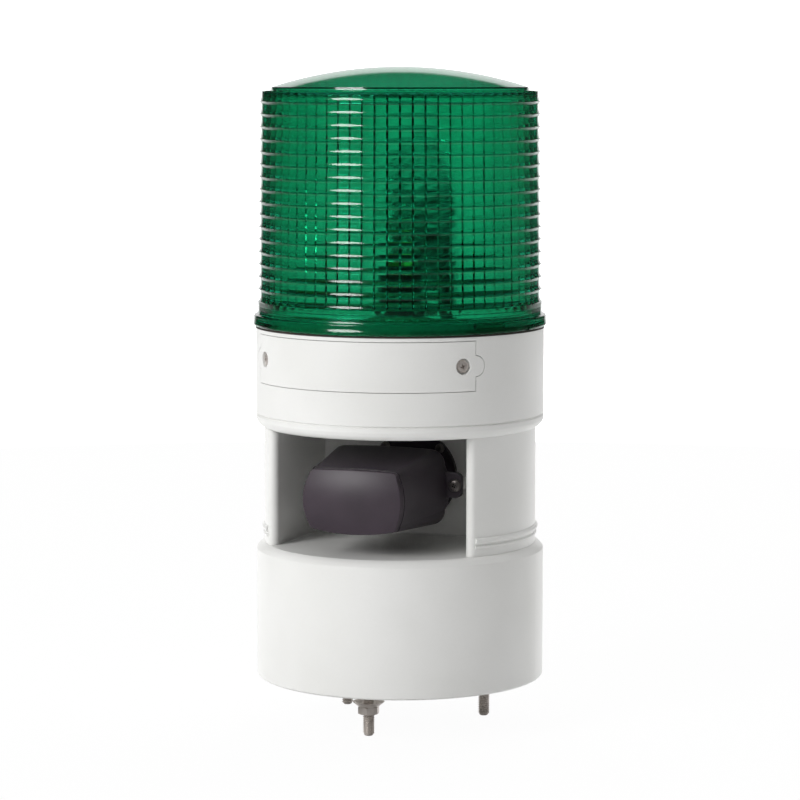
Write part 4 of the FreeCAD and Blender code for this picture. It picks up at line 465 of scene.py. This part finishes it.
def lensProfile(s):    # down the inside, round the flange, up the ribs and over the dome
    ballHeight = s["apex"] - s["domeBall"]
    inBall = s["domeBall"] - s["domeWall"]
    points = [(0, ballHeight + inBall)]
    rings = int((s["domeEdge"] - s["ringsClear"]) / s["ringPitch"])
    for ring in range(1, rings + 1):    # fine steps that ring the inside of the dome
        radius = ring * s["ringPitch"]
        points += stepPoints(radius, ballHeight + math.sqrt(inBall ** 2 - radius ** 2), s["ringForm"])
    inEdge = s["domeEdge"] - s["domeWall"]
    points.append((inEdge, ballHeight + math.sqrt(inBall ** 2 - inEdge ** 2)))
    points += stepPoints(inEdge, s["wallTop"], s["shoulderForm"])
    waves = s["waveSteps"] * s["ribCount"]
    for step in range(waves + 1):    # the inside swells level with each rib
        share = step / waves
        swell = s["waveDepth"] * math.cos(2 * math.pi * step / s["waveSteps"])
        points.append((s["wallTopRadius"] + (s["wallRadius"] - s["wallTopRadius"]) * share - swell,
                       s["wallTop"] + (s["ribsLow"] - s["wallTop"]) * share))
    points.append((s["wallRadius"], s["skirtTop"] + s["skirtSlope"]))
    points += [(s["skirtRadius"], s[level]) for level in ("skirtTop", "lugHigh", "lugLow", "foot")]
    edge = s["footEdge"]
    points += arcPoints((s["flangeRadius"] - edge, s["foot"] + edge), edge, -90, 0, 3)
    edge, flange = s["flangeEdge"], s["flangeRadius"] - s["beadStep"]
    points += [(s["flangeRadius"], s["foot"] + s["beadTop"]), (flange, s["foot"] + s["beadEnd"]),
               (flange, s["flangeTop"] - s["flangeDrop"])]
    points += arcPoints((flange - edge, s["flangeTop"] - edge), edge, 0, 90, 4)
    points += stepPoints(s["radius"], s["flangeTop"], s["bandForm"])
    for line in range(s["lineCount"]):    # faint turning lines on the plain band
        points += stepPoints(s["radius"], s["flangeTop"] + s["linePitch"] * (line + 1), s["lineForm"])
    for rib in range(s["ribCount"]):    # a sharp lip, hollowed above up to the face and hollowed below
        lip = (s["radius"] - rib * s["ribStepIn"], s["ribsLow"] + rib * s["ribPitch"])
        if rib:
            points += hollowCurve(lip, s["ribFlare"], -s["ribUnder"], s["turnsUnder"])
        points.append(lip)
        points += hollowCurve(lip, s["ribFlare"], s["ribRise"], s["turnsOver"])
        face = lip[0] - s["ribFlare"]
        points.append((face, lip[1] + s["ribRise"] + s["ribLand"]))
        if rib < s["ribCount"] - 1:
            points.append((face - s["ribStepIn"], lip[1] + s["ribPitch"] - s["ribUnder"] - s["ribLand"]))
    points += stepPoints(face, s["rimTop"], s["rimForm"])    # a chamfer and a level rim
    points += stepPoints(s["domeEdge"], s["rimTop"], s["stepForm"])    # then a step up to the dome
    points += stepPoints(s["domeEdge"], s["domeLow"], s["domeForm"])
    for step in range(1, s["domeSteps"] + 1):
        radius = s["domeEdge"] * (1 - step / s["domeSteps"])
        points.append((radius, ballHeight + math.sqrt(s["domeBall"] ** 2 - radius ** 2)))
    return points


def angleOf(place):
    return math.degrees(math.atan2(place.y, place.x)) % 360


def angleGap(place, angle):
    return abs((angleOf(place) - angle + 180) % 360 - 180)


def makeLens(s):
    lens = turnPiece("ribbedLens", lensProfile(s), s["steps"])
    editPiece(lens, "VERT")
    perGroove = s["steps"] // s["grooveCount"]
    wallLow, wallHigh = (s["ribsLow"] - s["slack"]) * mm, (s["wallTop"] + s["slack"]) * mm
    wallOut = (s["wallRadius"] + s["waveDepth"] + s["slack"]) * mm
    shrink = 1 - s["grooveDepth"] / s["wallRadius"]
    for place, turn in ((1, -1), (2, 0), (3, 1)):    # flat strips stand in from the wall, a narrow groove between them
        def onStrip(spot):
            if not wallLow < spot.z < wallHigh or math.hypot(spot.x, spot.y) > wallOut:
                return False
            return round(angleOf(spot) * s["steps"] / 360) % perGroove == place
        pickVertices(lens, onStrip)
        bpy.ops.transform.resize(value=(shrink, shrink, 1), center_override=(0, 0, 0))
        bpy.ops.transform.rotate(value=-turn * math.radians(s["grooveTurn"]), orient_axis="Z",
                                 center_override=(0, 0, 0))
    bpy.ops.mesh.select_all(action="SELECT")
    bpy.ops.transform.rotate(value=-math.radians(s["firstGroove"]), orient_axis="Z", center_override=(0, 0, 0))
    bpy.ops.mesh.select_mode(type="FACE")
    skirtOut, flangeIn = (s["skirtRadius"] + s["near"]) * mm, (s["flangeRadius"] - s["near"]) * mm
    pickFaces(lens, lambda spot, normal: s["lugLow"] * mm < spot.z < s["lugHigh"] * mm
              and math.hypot(spot.x, spot.y) < skirtOut
              and any(angleGap(spot, angle) < s["lugHalf"] for angle in s["lugAngles"]))
    bpy.ops.mesh.extrude_region_shrink_fatten(TRANSFORM_OT_shrink_fatten={"value": s["lugReach"] * mm})
    pickFaces(lens, lambda spot, normal: s["foot"] * mm < spot.z < (s["foot"] + s["beadTop"]) * mm
              and math.hypot(spot.x, spot.y) > flangeIn and angleGap(spot, s["markAngle"]) < s["markHalf"])
    bpy.ops.mesh.extrude_region_shrink_fatten(TRANSFORM_OT_shrink_fatten={"value": -s["markDepth"] * mm})
    closeSkin()
    smoothBy(lens, s["smooth"])
    return lens


lens = makeLens(lensSizes)
settle(lens, "lens_green", "lens_cap", "lens")
print("lens made:", len(lens.data.polygons), "faces")

# pan-head screws with a cross recess
screwSizes = {"headRadius": 3.3, "headHeight": 2.0, "crownFlat": 1.5, "crownShare": 0.58, "crownSteps": 5,
              "flatEdge": 0.3, "underEdge": 0.12, "shank": 1.5, "tipLong": 0.8, "tipIn": 0.5,
              "recessLong": 3.5, "recessWide": 0.85, "recessDeep": 1.35, "recessFloor": (0.45, 0.6, 1),
              "recessTurn": 20, "steps": 40, "smooth": 35}


def crossCutter(name, s, top):
    blades = []
    for index in range(2):
        clearSelection()
        bpy.ops.mesh.primitive_cube_add(size=1, location=(0, 0, 0))
        blade = bpy.context.object
        blade.scale = (s["recessLong"] * mm, s["recessWide"] * mm, 2 * s["recessDeep"] * mm)
        applyPlace()
        editPiece(blade, "FACE")
        pickFaces(blade, lambda spot, normal: normal.z < -0.9)    # the lower end
        bpy.ops.transform.resize(value=s["recessFloor"])    # the slot narrows downwards
        bpy.ops.object.mode_set(mode="OBJECT")
        turn = math.pi / 2 * index + math.radians(s["recessTurn"])
        blades.append(placedCopy(blade, f"{name}{index}", (0, 0, turn), (0, 0, top)))
        dropPiece(blade)
    return blades


def makeScrew(name, s, length, flatHead=False):
    head, height, shank = s["headRadius"], s["headHeight"], s["shank"]
    if flatHead:
        edge = s["flatEdge"]
        profile = [(0, height)] + arcPoints((head - edge, height - edge), edge, 90, 0, 3)
    else:
        crown = height * s["crownShare"]
        profile = [(0, height), (s["crownFlat"], height)]
        for step in range(1, s["crownSteps"] + 1):
            turn = math.radians(90 * step / s["crownSteps"])
            profile.append((s["crownFlat"] + (head - s["crownFlat"]) * math.sin(turn),
                            height - crown + crown * math.cos(turn)))
    profile += [(head, s["underEdge"]), (head - s["underEdge"], 0), (shank, 0), (shank, s["tipLong"] - length),
                (shank - s["tipIn"], -length), (0, -length)]
    screw = turnPiece(name, profile, s["steps"])
    for blade in crossCutter(name + "Slot", s, height * mm):
        cutBy(screw, blade, "DIFFERENCE")
    smoothBy(screw, s["smooth"])
    return screw


coverScrews = {"angles": (46, -46), "seat": 72.6, "level": 167.9, "length": 9.0}    # angles from the front
coverScrew = makeScrew("coverScrew", screwSizes, coverScrews["length"])
places = [((math.pi / 2, 0, math.radians(angle)), onCircle(coverScrews["seat"], angle - 90, coverScrews["level"]))
          for angle in coverScrews["angles"]]
settle(spreadCopies(coverScrew, "coverCrossScrews", places), "steel_zinc", "housing", "access_cover_screws")

hornLow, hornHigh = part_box("horn_screws")
hornSeat = hornLow.y / mm + screwSizes["headHeight"]
hornSide = hornHigh.x - screwSizes["headRadius"] * mm
hornScrew = makeScrew("hornScrew", screwSizes, hornHigh.y / mm - hornSeat)
places = [((math.pi / 2, 0, 0), (side * hornSide, hornSeat * mm, (hornLow.z + hornHigh.z) / 2)) for side in (-1, 1)]
# the horn screws take the steel painted dark: painted shade of the recess
settle(spreadCopies(hornScrew, "hornCrossScrews", places), "steel_zinc", "housing", "horn_screws",
       material="steel_dark")

plateScrews = {"circle": 62.0, "angles": (90, 210, 330), "seat": 2.2}
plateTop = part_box("base_plate_screws")[1].z / mm
plateScrew = makeScrew("plateScrew", screwSizes, plateTop - plateScrews["seat"], flatHead=True)
places = [((math.pi, 0, math.radians(angle)), onCircle(plateScrews["circle"], angle, plateScrews["seat"]))
          for angle in plateScrews["angles"]]
settle(spreadCopies(plateScrew, "plateCrossScrews", places), "steel_zinc", "housing", "base_plate_screws")
print("screws made")

# horn cap: a merged copy of the solid, crowned more strongly by the front of a long ball
capSizes = {"ball": (81.2, 60.0, 49.0), "ballSides": 160, "ballRings": 96, "shave": 0.05, "smooth": 25}


def makeCap(s, low, high):
    cap = bpy.data.objects.new("crownedCap", nodes["horn_cap"].data.copy())
    bpy.context.collection.objects.link(cap)
    pickOnly(cap)
    bpy.ops.mesh.customdata_custom_splitnormals_clear()
    editPiece(cap, "VERT")
    closeSkin()
    clearSelection()
    middle = (0, low.y + (s["ball"][1] + s["shave"]) * mm, (low.z + high.z) / 2)
    bpy.ops.mesh.primitive_uv_sphere_add(segments=s["ballSides"], ring_count=s["ballRings"], radius=mm, location=middle)
    ball = bpy.context.object
    ball.scale = s["ball"]
    applyPlace()
    cutBy(cap, ball, "INTERSECT")
    smoothBy(cap, s["smooth"])
    return cap


capLow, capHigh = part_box("horn_cap")
# the cap takes the paler finish: painted light on its lit front
settle(makeCap(capSizes, capLow, capHigh), "horn_dark", "housing", "horn_cap", material="horn_cap")
print("horn cap made")

# threaded studs: a core with its head and neck, and one thread wound round it
studSizes = {"circle": 45.0, "angles": (-90, 30, 150), "core": 2.45, "crest": 3.0, "pitch": 1.0,
             "tip": -25.0, "tipEdge": 0.5, "threadTop": -1.0, "runOut": (0.3, 0.6), "neck": 3.5, "seat": 4.0,
             "head": 6.5, "headFoot": 0.2, "headTop": 6.5, "headEdge": 0.4,
             "ridgeRoot": 0.15, "ridgeLow": 0.55, "ridgeForm": (0.36, 0.5, 0.86), "ridgeSpare": 0.8,
             "steps": 36, "smooth": 35}


def makeStud(s):
    core, crest, tip, head = s["core"], s["crest"], s["tip"], s["head"]
    profile = [(0, tip), (core - s["tipEdge"], tip), (core, tip + s["tipEdge"]),
               (core, s["threadTop"] + s["runOut"][0]), (crest, s["threadTop"] + s["runOut"][1]), (crest, 0),
               (s["neck"], 0), (s["neck"], s["seat"]), (head - s["headFoot"], s["seat"]),
               (head, s["seat"] + s["headFoot"]), (head, s["headTop"] - s["headEdge"]),
               (head - s["headEdge"], s["headTop"]), (0, s["headTop"])]
    shaft = turnPiece("studCore", profile, s["steps"])
    turns = int((s["threadTop"] - tip - s["ridgeSpare"]) / s["pitch"])
    root, low = core - s["ridgeRoot"], tip + s["ridgeLow"]
    rise, flat, end = s["ridgeForm"]
    outline = [(root, low), (crest, low + rise), (crest, low + flat), (root, low + end), (root, low)]
    ridge = windPiece("studThread", outline, s["pitch"], turns, s["steps"])
    stud = joinPieces("threadedStud", [shaft, ridge])
    smoothBy(stud, s["smooth"])
    return stud


places = [((0, 0, math.radians(angle)), onCircle(studSizes["circle"], angle, 0)) for angle in studSizes["angles"]]
settle(spreadCopies(makeStud(studSizes), "threadedStuds", places), "steel_zinc", "housing", "mounting_studs")

# hex nut with turned-off corners
nutSizes = {"flats": 10.0, "low": -13.7, "high": -9.7, "bore": 3.05, "boreChamfer": 0.5, "spot": (0, -45.0), "turn": 12,
            "chamfer": 0.55, "faceIn": 0.1, "cornerOut": 0.2, "over": 0.0001, "overrun": 1.0, "steps": 48, "smooth": 30}


def makeNut(s):
    clearSelection()
    half, corner = (s["high"] - s["low"]) / 2, s["flats"] / 2 / math.cos(math.pi / 6)
    bpy.ops.mesh.primitive_cylinder_add(vertices=6, radius=corner * mm, depth=2 * half * mm, location=(0, 0, 0))
    nut = bpy.context.object
    nut.name = nut.data.name = "chamferedNut"
    face, wide = s["flats"] / 2 - s["faceIn"], corner + s["cornerOut"]
    side, tall = half - s["chamfer"], half + s["over"]
    outline = [(0, -tall), (face, -tall), (wide, -side), (wide, side), (face, tall), (0, tall)]
    cutBy(nut, turnPiece("nutKeeper", outline, s["steps"]), "INTERSECT")
    bore, mouth = s["bore"], s["bore"] + s["boreChamfer"]
    wide = mouth + s["overrun"]
    side, tall = half - s["boreChamfer"], half + s["overrun"]
    outline = [(0, -tall), (wide, -tall), (mouth, -half), (bore, -side), (bore, side), (mouth, half), (wide, tall),
               (0, tall)]
    cutBy(nut, turnPiece("nutBore", outline, s["steps"]), "DIFFERENCE")
    nut.rotation_euler = (0, 0, math.radians(s["turn"]))
    nut.location = (s["spot"][0] * mm, s["spot"][1] * mm, (s["low"] + s["high"]) / 2 * mm)
    pickOnly(nut)
    applyPlace()
    smoothBy(nut, s["smooth"])
    return nut


settle(makeNut(nutSizes), "steel_zinc", "housing", "stud_nut")
print("studs and nut made")

# lamp bulb: a blown hollow glass with its filament on two wires
bulbSizes = {"foot": 219.0, "top": 253.0, "neck": 6.75, "neckSteps": 9, "widest": 13.0, "widestAt": 238.7,
             "crownSteps": 10, "wall": 0.7, "steps": 64, "smooth": 40}


def makeBulb(s):
    outer = [(0, s["foot"]), (s["neck"], s["foot"])]
    for step in range(1, s["neckSteps"]):
        share = step / s["neckSteps"]
        outer.append((s["neck"] + (s["widest"] - s["neck"]) * math.sin(share * math.pi / 2),
                      s["foot"] + (s["widestAt"] - s["foot"]) * share))
    rise = s["top"] - s["widestAt"]
    for step in range(s["crownSteps"]):
        turn = math.radians(90 * step / s["crownSteps"])
        outer.append((s["widest"] * math.cos(turn), s["widestAt"] + rise * math.sin(turn)))
    inner = []
    for index, (radius, height) in enumerate(outer):
        lift = s["wall"] if index < 2 else 0    # only the floor is lifted by the wall
        inner.append((max(0, radius - s["wall"]), height + lift))
    glass = turnPiece("bulbSkin", outer + [(0, s["top"])], s["steps"])
    hollow = turnPiece("bulbHollow", inner + [(0, s["top"] - s["wall"])], s["steps"])
    editPiece(hollow, "FACE")
    bpy.ops.mesh.select_all(action="SELECT")
    bpy.ops.mesh.flip_normals()    # the inside of the wall looks inwards
    bpy.ops.object.mode_set(mode="OBJECT")
    bulb = joinPieces("blownBulb", [glass, hollow])
    smoothBy(bulb, s["smooth"])
    return bulb


settle(makeBulb(bulbSizes), "bulb_clear", "housing", "bulb_glass")

filamentSizes = {"level": 240.0, "spread": 4.0, "wire": 0.25, "wireSides": 6, "coil": 0.7, "turns": 9, "coilSteps": 12,
                 "foot": 219.8, "post": 0.4, "postTip": 0.3, "postNarrows": 0.3, "postOver": 0.5, "postSteps": 10,
                 "smooth": 40}


def makeFilament(s):
    outline = arcPoints((s["coil"], 0), s["wire"], 0, 360, s["wireSides"])
    coil = windPiece("filamentCoil", outline, 2 * s["spread"] / s["turns"], s["turns"], s["coilSteps"])
    coil.rotation_euler = (0, math.pi / 2, 0)
    coil.location = (-s["spread"] * mm, 0, s["level"] * mm)
    pickOnly(coil)
    applyPlace()
    pieces = [coil]
    tip = s["level"] + s["postOver"]
    profile = [(0, s["foot"]), (s["post"], s["foot"]), (s["post"], s["level"] - s["postNarrows"]),
               (s["postTip"], tip), (0, tip)]
    for side in (-1, 1):
        wire = turnPiece(f"filamentWire{side}", profile, s["postSteps"])
        pieces.append(placedCopy(wire, f"filamentPost{side}", (0, 0, 0), (side * s["spread"] * mm, s["coil"] * mm, 0)))
        dropPiece(wire)
    filament = joinPieces("coiledFilament", pieces)
    smoothBy(filament, s["smooth"])
    return filament


settle(makeFilament(filamentSizes), "rivet_aluminium", "housing", material="filament")
print("bulb made")

# every other node keeps its solid and gets its finish
slotOf = {part["node"]: part["material_slot"] for part in frame["record"]["subparts"]}
# the driver screws, zinc plated steel by their slot, take the steel painted dark as painted shade behind the horn
finishOf = {"driver_screws": "steel_dark"}    # nodes whose finish differs from others in their slot
for nodeName, node in nodes.items():
    if not node.material_slots:
        node.data.materials.append(None)
    for place in node.material_slots:
        place.link = "OBJECT"
        place.material = materials[finishOf.get(nodeName, slotOf[nodeName])]
print("node finishes set")

# plain white floor under the studs: paper for light that falls on it, nearly white for what sees it
floorSizes = {"level": -0.0252, "radius": 1.2, "sides": 96, "paper": "#f2f2f2", "whiteShare": 0.96}
clearSelection()
bpy.ops.mesh.primitive_circle_add(vertices=floorSizes["sides"], radius=floorSizes["radius"], fill_type="NGON",
                                  location=(0, 0, floorSizes["level"]))
floor = bpy.context.object
floor.name = "studioFloor"
floor.visible_glossy = False    # mirrored floor light comes from the world below
floorMaterial = bpy.data.materials.new("whitePaper")
floorMaterial.use_nodes = True
floorTree = floorMaterial.node_tree
floorTree.nodes.clear()
paper = addNode(floorTree, "ShaderNodeBsdfDiffuse", {"Color": hexColour(floorSizes["paper"])})
glow = addNode(floorTree, "ShaderNodeEmission", {"Color": (1, 1, 1, 1), "Strength": 1.0})
floorPath = addNode(floorTree, "ShaderNodeLightPath")
seen = addNode(floorTree, "ShaderNodeMath", {"operation": "MAXIMUM"},
               {0: floorPath.outputs["Is Camera Ray"], 1: floorPath.outputs["Is Transmission Ray"]})
seenAll = addNode(floorTree, "ShaderNodeMath", {"operation": "MAXIMUM"},
                  {0: seen.outputs[0], 1: floorPath.outputs["Is Glossy Ray"]})
whiteShare = addNode(floorTree, "ShaderNodeMath", {"operation": "MULTIPLY", 1: floorSizes["whiteShare"]},
                     {0: seenAll.outputs[0]})
floorMix = addNode(floorTree, "ShaderNodeMixShader",
                   links={0: whiteShare.outputs[0], 1: paper.outputs[0], 2: glow.outputs[0]})
addNode(floorTree, "ShaderNodeOutputMaterial", links={"Surface": floorMix.outputs[0]})
floor.data.materials.append(floorMaterial)

# the studio: a soft level that leans to the left and a rim light from behind for matt surfaces;
# what shines or is clear sees a white screen behind, dim elsewhere. Turns in degrees from the front,
# edges as a share of the direction that they follow.
studio = {
    "camera": 21.0, "soft": 0.3, "lean": 0.5, "leanTurn": -74.0, "rim": 2.6, "rimTurn": 175.0,
    "dim": 0.012, "screen": 1.0, "mirrorEdge": (0.93, 0.945), "clearEdge": (0.85, 0.92), "screenTop": (0.317, 0.342),
    "floorEdge": (0.42, 0.92), "floorShine": (0.06, 1.2), "shineDrop": (-0.14, -0.05),
    "ring": 0.3, "ringTop": (-0.26, -0.2), "ringFoot": (-0.62, -0.5), "above": 0.4, "aboveEdge": (0.4, 0.6),
}
world = bpy.data.worlds.new("studio")
bpy.context.scene.world = world
world.use_nodes = True
worldTree = world.node_tree
worldTree.nodes.clear()
worldPath = addNode(worldTree, "ShaderNodeLightPath")
direction = addNode(worldTree, "ShaderNodeTexCoord").outputs["Generated"]
upward = addNode(worldTree, "ShaderNodeSeparateXYZ", links={0: direction}).outputs["Z"]

facing = {}    # how far a direction points to a turn, -1 to 1
for name, degrees in (("screen", 180.0 + studio["camera"]), ("lean", studio["leanTurn"]), ("rim", studio["rimTurn"])):
    turn = math.radians(degrees)
    facing[name] = addNode(worldTree, "ShaderNodeVectorMath", {
        "operation": "DOT_PRODUCT", 1: (math.sin(turn), -math.cos(turn), 0)}, {0: direction}).outputs["Value"]

fades = {}    # soft steps: what each follows, between which edges, from and to which level
for name, follows, edges, levels in (
        ("screenTall", upward, studio["screenTop"], (1.0, 0.0)),
        ("mirrorScreen", facing["screen"], studio["mirrorEdge"], (0.0, 1.0)),
        ("clearScreen", facing["screen"], studio["clearEdge"], (0.0, 1.0)),
        ("shineSide", facing["screen"], studio["floorEdge"], studio["floorShine"]),
        ("shineDrop", upward, studio["shineDrop"], (1.0, 0.0)),
        ("ringTop", upward, studio["ringTop"], (studio["ring"], 0.0)),
        ("ringFoot", upward, studio["ringFoot"], (0.0, 1.0)),
        ("above", upward, studio["aboveEdge"], (0.0, studio["above"]))):
    fades[name] = addNode(worldTree, "ShaderNodeMapRange", {
        "interpolation_type": "SMOOTHSTEP", "From Min": edges[0], "From Max": edges[1],
        "To Min": levels[0], "To Max": levels[1]}, {"Value": follows}).outputs[0]

screens = []
for name in ("mirrorScreen", "clearScreen"):
    screen = addNode(worldTree, "ShaderNodeMath", {"operation": "MULTIPLY"}, {0: fades[name], 1: fades["screenTall"]})
    screens.append(addNode(worldTree, "ShaderNodeMapRange", {"To Min": studio["dim"], "To Max": studio["screen"]},
                           {"Value": screen.outputs[0]}))
leaning = addNode(worldTree, "ShaderNodeMath", {"operation": "MULTIPLY_ADD", 1: studio["lean"], 2: studio["soft"]},
                  {0: facing["lean"]})
rimSide = addNode(worldTree, "ShaderNodeMath", {"operation": "MAXIMUM", 1: 0.0}, {0: facing["rim"]})
soft = addNode(worldTree, "ShaderNodeMath", {"operation": "MULTIPLY_ADD", 1: studio["rim"]},
               {0: rimSide.outputs[0], 2: leaning.outputs[0]})
floorShine = addNode(worldTree, "ShaderNodeMath", {"operation": "MULTIPLY"},
                     {0: fades["shineSide"], 1: fades["shineDrop"]})
floorRing = addNode(worldTree, "ShaderNodeMath", {"operation": "MULTIPLY"},
                    {0: fades["ringTop"], 1: fades["ringFoot"]})
floorLight = addNode(worldTree, "ShaderNodeMath", {"operation": "MAXIMUM"},
                     {0: floorShine.outputs[0], 1: floorRing.outputs[0]})
mirrored = addNode(worldTree, "ShaderNodeMath", {"operation": "MAXIMUM"},
                   {0: screens[0].outputs[0], 1: floorLight.outputs[0]})
inMirror = addNode(worldTree, "ShaderNodeMix", {"data_type": "FLOAT"},
                   {0: worldPath.outputs["Is Glossy Ray"], 2: soft.outputs[0], 3: mirrored.outputs[0]})
inClear = addNode(worldTree, "ShaderNodeMath", {"operation": "MAXIMUM"}, {0: screens[1].outputs[0], 1: fades["above"]})
inGlass = addNode(worldTree, "ShaderNodeMix", {"data_type": "FLOAT"},
                  {0: worldPath.outputs["Is Transmission Ray"], 2: inMirror.outputs[0], 3: inClear.outputs[0]})
level = addNode(worldTree, "ShaderNodeMath", {"operation": "MAXIMUM"},
                {0: inGlass.outputs[0], 1: worldPath.outputs["Is Camera Ray"]})
sky = addNode(worldTree, "ShaderNodeBackground", {"Color": (1, 1, 1, 1)}, {"Strength": level.outputs[0]})
addNode(worldTree, "ShaderNodeOutputWorld", links={"Surface": sky.outputs[0]})

# one soft lamp: turn from the front and lift in degrees, distance, size and aim in m, level on the object
keyBox = {"turn": -25.5, "lift": 26.0, "away": 3.0, "size": 1.4, "level": 0.53, "aim": (0, 0, 0.16)}
lamp = bpy.data.lights.new("keyBox", "AREA")
lamp.shape = "ELLIPSE"
lamp.size = lamp.size_y = keyBox["size"]
lamp.energy = keyBox["level"] * math.pi ** 2 * keyBox["away"] ** 2
holder = bpy.data.objects.new("keyBox", lamp)
bpy.context.collection.objects.link(holder)
turn, lift, aim = math.radians(keyBox["turn"]), math.radians(keyBox["lift"]), Vector(keyBox["aim"])
outward = Vector((math.sin(turn) * math.cos(lift), -math.cos(turn) * math.cos(lift), math.sin(lift)))
holder.location = aim + keyBox["away"] * outward
holder.rotation_euler = (holder.location - aim).to_track_quat("Z", "Y").to_euler()
print("lights set")

# camera where the photograph was taken from: turn and tilt in degrees, place in m, lens and sensor in mm
cameraSizes = {"turn": studio["camera"], "away": 1.529, "height": 0.311, "tilt": 6.24, "lens": 132.5, "sensor": 36.0,
               "clipEnd": 50.0}
cameraData = bpy.data.cameras.new("photoCamera")
cameraData.lens = cameraSizes["lens"]
cameraData.sensor_width = cameraSizes["sensor"]
cameraData.clip_end = cameraSizes["clipEnd"]
camera = bpy.data.objects.new("photoCamera", cameraData)
bpy.context.collection.objects.link(camera)
turn = math.radians(cameraSizes["turn"])
camera.location = (math.sin(turn) * cameraSizes["away"], -math.cos(turn) * cameraSizes["away"], cameraSizes["height"])
camera.rotation_euler = (math.radians(90 - cameraSizes["tilt"]), 0, turn)
bpy.context.scene.camera = camera
bpy.context.scene.view_settings.view_transform = "Standard"
clearSelection()

print("done")
